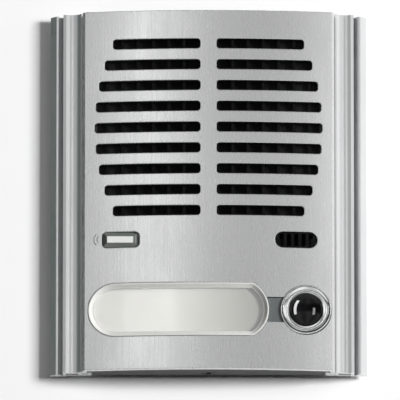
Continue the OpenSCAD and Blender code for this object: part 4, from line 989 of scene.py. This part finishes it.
def return_coil():
    """Coil of round wire behind the button, with its end turns closed."""
    low, high = box_mm("button_spring")
    wire, turns, steps, dead_end = 0.35, 3.5, 168, 0.1
    coil_r = (high.x - low.x) / 2 - wire
    back, front = -high.y + wire, -low.y - wire
    path = []
    for i in range(steps + 1):
        t = i / steps
        a = 2 * math.pi * turns * t
        share = min(max((t - dead_end) / (1 - 2 * dead_end), 0.0), 1.0)
        x, z = BUTTON[0] + coil_r * math.cos(a), BUTTON[1] + coil_r * math.sin(a)
        path.append((x, back + (front - back) * share, z))
    coil = piece("return_coil", bar(wire_rings(path, wire)), "spring_steel")
    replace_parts(coil, "button_spring")
    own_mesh(coil)


return_coil()


# Speaker


def about_speaker(r, depth, a):
    """Point at a radius and an angle about the axis of the speaker."""
    return r * math.cos(a), depth, GRILLE_Z + r * math.sin(a)


def cone_roll():
    """Half-round rubber roll with fine radial ribs between the cone and the basket."""
    low, high = box_mm("speaker_surround")
    base, roll = -high.y, high.y - low.y
    mid = (high.x - low.x) / 2 - roll
    wall, rib, turns, steps = 0.4, 0.06, 144, 14
    across = [math.pi * k / steps for k in range(steps + 1)]
    rings = []
    for i in range(turns):
        a = 2 * math.pi * i / turns
        sunk = rib if i % 4 < 2 else 0.0
        section = [(roll - sunk * math.sin(b), b) for b in across]
        section += [(roll - wall, b) for b in reversed(across)]
        rings.append([about_speaker(mid + r * math.cos(b), base + r * math.sin(b), a) for r, b in section])
    roll_piece = piece("cone_roll", loft(rings, joined=True, flip=True), "rubber")
    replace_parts(roll_piece, "speaker_surround")


def foam_ring():
    """Foam gasket with crowned edges, pinched at the screws."""
    low, high = box_mm("speaker_gasket")
    width, turns = 5.6, 160
    pinch_depth, pinch_reach = 0.25, 0.09
    screws = [math.radians(a) for a in (45, 135, 225, 315)]
    outer = (high.x - low.x) / 2
    inner = outer - width
    mid, half = -(low.y + high.y) / 2, (high.y - low.y) / 2
    crown = [(0.0, 0.0), (0.2, 0.8), (0.6, 1.0)]
    section = [(outer - s, t) for s, t in crown] + [(inner + s, t) for s, t in reversed(crown)]
    section += [(inner + s, -t) for s, t in crown[1:]] + [(outer - s, -t) for s, t in reversed(crown[1:])]
    rings = []
    for i in range(turns):
        a = 2 * math.pi * i / turns
        near = min(abs((a - s + math.pi) % (2 * math.pi) - math.pi) for s in screws)
        pinch = 1.0 - pinch_depth * math.exp(-((near / pinch_reach) ** 2))
        rings.append([about_speaker(r, mid + half * t * pinch, a) for r, t in section])
    ring = piece("foam_ring", loft(rings, joined=True, flip=True), "foam")
    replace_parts(ring, "speaker_gasket")


def dust_sheet():
    """Black woven cloth stretched behind the guard, drawn back a little between its ribs."""
    low, high = box_mm("dust_cloth")
    columns, rows = 116, 64
    first_rib, rib_pitch, slack = 3.7, 6.3, 0.05
    verts, faces = [], []
    for depth, loose in ((-low.y, slack), (-high.y, 0.0)):
        for i in range(columns + 1):
            x = low.x + (high.x - low.x) * i / columns
            between_ribs = 1 - math.cos(2 * math.pi * (abs(x) - first_rib) / rib_pitch)
            sag = loose * between_ribs if 0 < i < columns else 0.0
            for j in range(rows + 1):
                z = low.z + (high.z - low.z) * j / rows
                verts.append((x, depth - sag * math.sin(math.pi * j / rows), z))
    step = rows + 1
    back = (columns + 1) * step
    for i in range(columns):
        for j in range(rows):
            a = i * step + j
            b = back + a
            faces.append((a, a + step, a + step + 1, a + 1))
            faces.append((b + 1, b + step + 1, b + step, b))
    border = [i * step for i in range(columns + 1)]
    border += [columns * step + j for j in range(1, rows + 1)]
    border += [i * step + rows for i in reversed(range(columns))]
    border += list(reversed(range(1, rows)))
    for a, b in zip(border, border[1:] + border[:1]):
        faces.append((b, a, back + a, back + b))
    sheet = piece("dust_sheet", (verts, faces), "cloth")
    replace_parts(sheet, "dust_cloth")


cone_roll()
foam_ring()
dust_sheet()


# Printed mark


def sound_mark():
    """Two small printed arcs on the face beside the status window."""
    centre = (STATUS_X - 8.2, SMALL_Z + 0.2)
    half_turn, width, thickness, steps = 50.0, 0.36, 0.03, 18
    shapes = []
    for radius in (1.6, 2.9):
        inner, outer = (
            arc(*centre, r, 180 - half_turn, 180 + half_turn, steps)
            for r in (radius - width / 2, radius + width / 2)
        )
        rings = [on_bow([a, b], 0.0) + on_bow([b, a], -thickness) for a, b in zip(inner, outer)]
        shapes.append(bar(rings))
    piece("sound_mark", together(shapes), "link_plastic", print_grey, smooth=False)


sound_mark()


# Stage


def stage_wall():
    """Pale wall round the opening for the housing, see-through from behind to show the back of the part."""
    wall_back, wall_half, hole_x, hole_z = 3.0, 90.0, 57.5, 66.0
    corners = []
    for x, z in ((wall_half, wall_half), (hole_x, hole_z)):
        corners += [(s * x * MM, wall_back * MM, t * z * MM) for s, t in ((-1, -1), (1, -1), (1, 1), (-1, 1))]
    mesh = bpy.data.meshes.new("wall")
    mesh.from_pydata(corners, [], [(i, (i + 1) % 4, 4 + (i + 1) % 4, 4 + i) for i in range(4)])
    wall = bpy.data.objects.new("wall", mesh)
    bpy.context.scene.collection.objects.link(wall)
    mat = bpy.data.materials.new("wall_paint")
    mat.use_nodes = True
    mat.node_tree.nodes.clear()
    f = Shading(mat.node_tree)
    paint = f.add("ShaderNodeBsdfDiffuse")
    f.feed(paint.inputs["Color"], (0.97, 0.97, 0.97))
    clear = f.add("ShaderNodeBsdfTransparent")
    behind = f.add("ShaderNodeNewGeometry").outputs["Backfacing"]
    surface = f.mix_shaders(behind, paint.outputs[0], clear.outputs[0])
    f.feed(f.add("ShaderNodeOutputMaterial").inputs["Surface"], surface)
    mesh.materials.append(mat)


stage_wall()


# Light

WHITE, COOL = (1.0, 1.0, 1.0), (0.72, 1.0, 0.9)
# Height of the panels that the upright faces mirror towards a slightly low view, in degrees
PANEL_EL = 14.5


def dome_group(name, state):
    """Collection that keeps a lamp on the dome of the button alone, or off it."""
    group = bpy.data.collections.new(name)
    group.objects.link(nodes["button_cap"])
    group.collection_objects[0].light_linking.link_state = state
    return group


dome_only = dome_group("dome_only", "INCLUDE")
dome_left_out = dome_group("dome_left_out", "EXCLUDE")


def softbox(name, place, size, level, shown=True, lit=None, colour=WHITE):
    """Rectangular lamp that faces the part; level is its brightness, where 1 is white.

    Its place is an azimuth and an elevation in degrees and a distance in metres. A lamp that is not
    shown lights the part but is not mirrored in it, and lit says which pieces it reaches.
    """
    a, e = (math.radians(angle) for angle in place[:2])
    away = Vector((math.sin(a) * math.cos(e), -math.cos(a) * math.cos(e), math.sin(e)))
    lamp = bpy.data.lights.new(name, "AREA")
    lamp.shape = "RECTANGLE"
    lamp.size, lamp.size_y = size
    lamp.energy = level * math.pi * size[0] * size[1]
    lamp.color = colour
    obj = bpy.data.objects.new(name, lamp)
    obj.location = away * place[2]
    obj.rotation_mode = "QUATERNION"
    obj.rotation_quaternion = (-away).to_track_quat("-Z", "Y")
    obj.visible_camera = False
    obj.visible_transmission = False
    obj.visible_glossy = shown
    obj.light_linking.receiver_collection = lit
    bpy.context.scene.collection.objects.link(obj)


softbox("key", (51.5, 4.2, 4.5), (1.14, 1.08), 66.0, shown=False)
softbox("side", (80.0, PANEL_EL, 1.3), (1.2, 0.7), 1.2, lit=dome_left_out)
softbox("right", (35.5, PANEL_EL, 1.7), (1.0, 0.6), 1.1, lit=dome_left_out)
softbox("front", (-1.0, PANEL_EL, 1.9), (1.8, 0.66), 0.58, lit=dome_left_out)
softbox("front_left", (-24.0, PANEL_EL, 1.8), (0.5, 0.6), 0.1, lit=dome_left_out)
softbox("strip", (-9.0, PANEL_EL, 1.8), (0.24, 0.6), 1.3, lit=dome_left_out)
softbox("fill", (-43.0, PANEL_EL, 1.6), (0.8, 0.6), 0.55, lit=dome_left_out)
softbox("edge", (-74.0, PANEL_EL, 1.5), (0.8, 0.6), 0.11, lit=dome_left_out, colour=COOL)
softbox("dome_left", (-65.0, 18.0, 1.4), (0.46, 2.0), 40.0, lit=dome_only)
softbox("dome_right", (47.0, -6.0, 1.4), (0.34, 0.9), 17.0, lit=dome_only)
softbox("back_key", (205.0, 38.0, 1.5), (0.9, 0.9), 6.0)
softbox("back_fill", (150.0, 15.0, 1.6), (0.9, 1.2), 2.2)


def studio_world():
    """White behind the part, dim for the light on it, and pale above and below for what metal mirrors."""
    dim_level, band_count, band_share = 0.035, 5.0, 0.4
    # Stops of height, from -1 at the bottom to 1 at the top, and level
    pale_levels = ((-0.2, 0.78), (-0.04, 0.0), (0.5, 0.0), (0.68, 0.5))
    world = bpy.data.worlds.new("studio")
    bpy.context.scene.world = world
    world.use_nodes = True
    world.node_tree.nodes.clear()
    f = Shading(world.node_tree)
    rays = f.add("ShaderNodeLightPath").outputs
    split = f.add("ShaderNodeSeparateXYZ")
    f.feed(split.inputs[0], f.add("ShaderNodeTexCoord").outputs["Generated"])
    x, y, up = split.outputs

    stops = [((height + 1.0) / 2, (level, level, level)) for height, level in pale_levels]
    pale = f.ramp(f.maths("ADD", f.maths("MULTIPLY", up, 0.5), 0.5), *stops)
    bands = f.maths("SINE", f.maths("MULTIPLY", f.maths("ARCTAN2", x, y), band_count))
    uneven = f.maths("ADD", f.maths("MULTIPLY", bands, band_share), 1.0)
    mirrored = f.maths("MULTIPLY", f.maths("MULTIPLY", pale, uneven), rays["Is Glossy Ray"])

    dim, white = f.add("ShaderNodeBackground"), f.add("ShaderNodeBackground")
    for sky in (dim, white):
        f.feed(sky.inputs["Color"], WHITE)
    f.feed(dim.inputs["Strength"], f.maths("ADD", mirrored, dim_level))
    direct = f.maths("LESS_THAN", rays["Diffuse Depth"], 0.5)
    through = f.maths("MULTIPLY", rays["Is Transmission Ray"], direct)
    seen = f.maths("MAXIMUM", rays["Is Camera Ray"], through)
    surface = f.mix_shaders(seen, dim.outputs[0], white.outputs[0])
    f.feed(f.add("ShaderNodeOutputWorld").inputs["Surface"], surface)


studio_world()


# Camera

ELEVATION = math.radians(-14.5)
DISTANCE, FRAME_W, SENSOR_W = 6.0, 164.2 * MM, 36.0
# Side of the picture, and how far the middle of the face lies right of and above its middle, in pixels
FRAME_PX, FACE_RIGHT_PX, FACE_UP_PX = 400, 8.5, 11.5

pixel = FRAME_W / FRAME_PX
look = Vector((0.0, math.cos(ELEVATION), -math.sin(ELEVATION)))
rise = Vector((0.0, math.sin(ELEVATION), math.cos(ELEVATION)))
aside = Vector((FACE_RIGHT_PX * pixel, 0.0, 0.0))
target = Vector((0.0, -FRONT_D * MM, 0.0)) - aside - rise * (FACE_UP_PX * pixel)
lens_data = bpy.data.cameras.new("camera")
lens_data.sensor_width = SENSOR_W
lens_data.lens = SENSOR_W * DISTANCE / FRAME_W
lens_data.clip_end = 100.0
camera = bpy.data.objects.new("camera", lens_data)
camera.location = target - look * DISTANCE
camera.rotation_mode = "QUATERNION"
camera.rotation_quaternion = look.to_track_quat("-Z", "Y")
bpy.context.scene.collection.objects.link(camera)
bpy.context.scene.camera = camera
bpy.context.scene.view_settings.view_transform = "Standard"
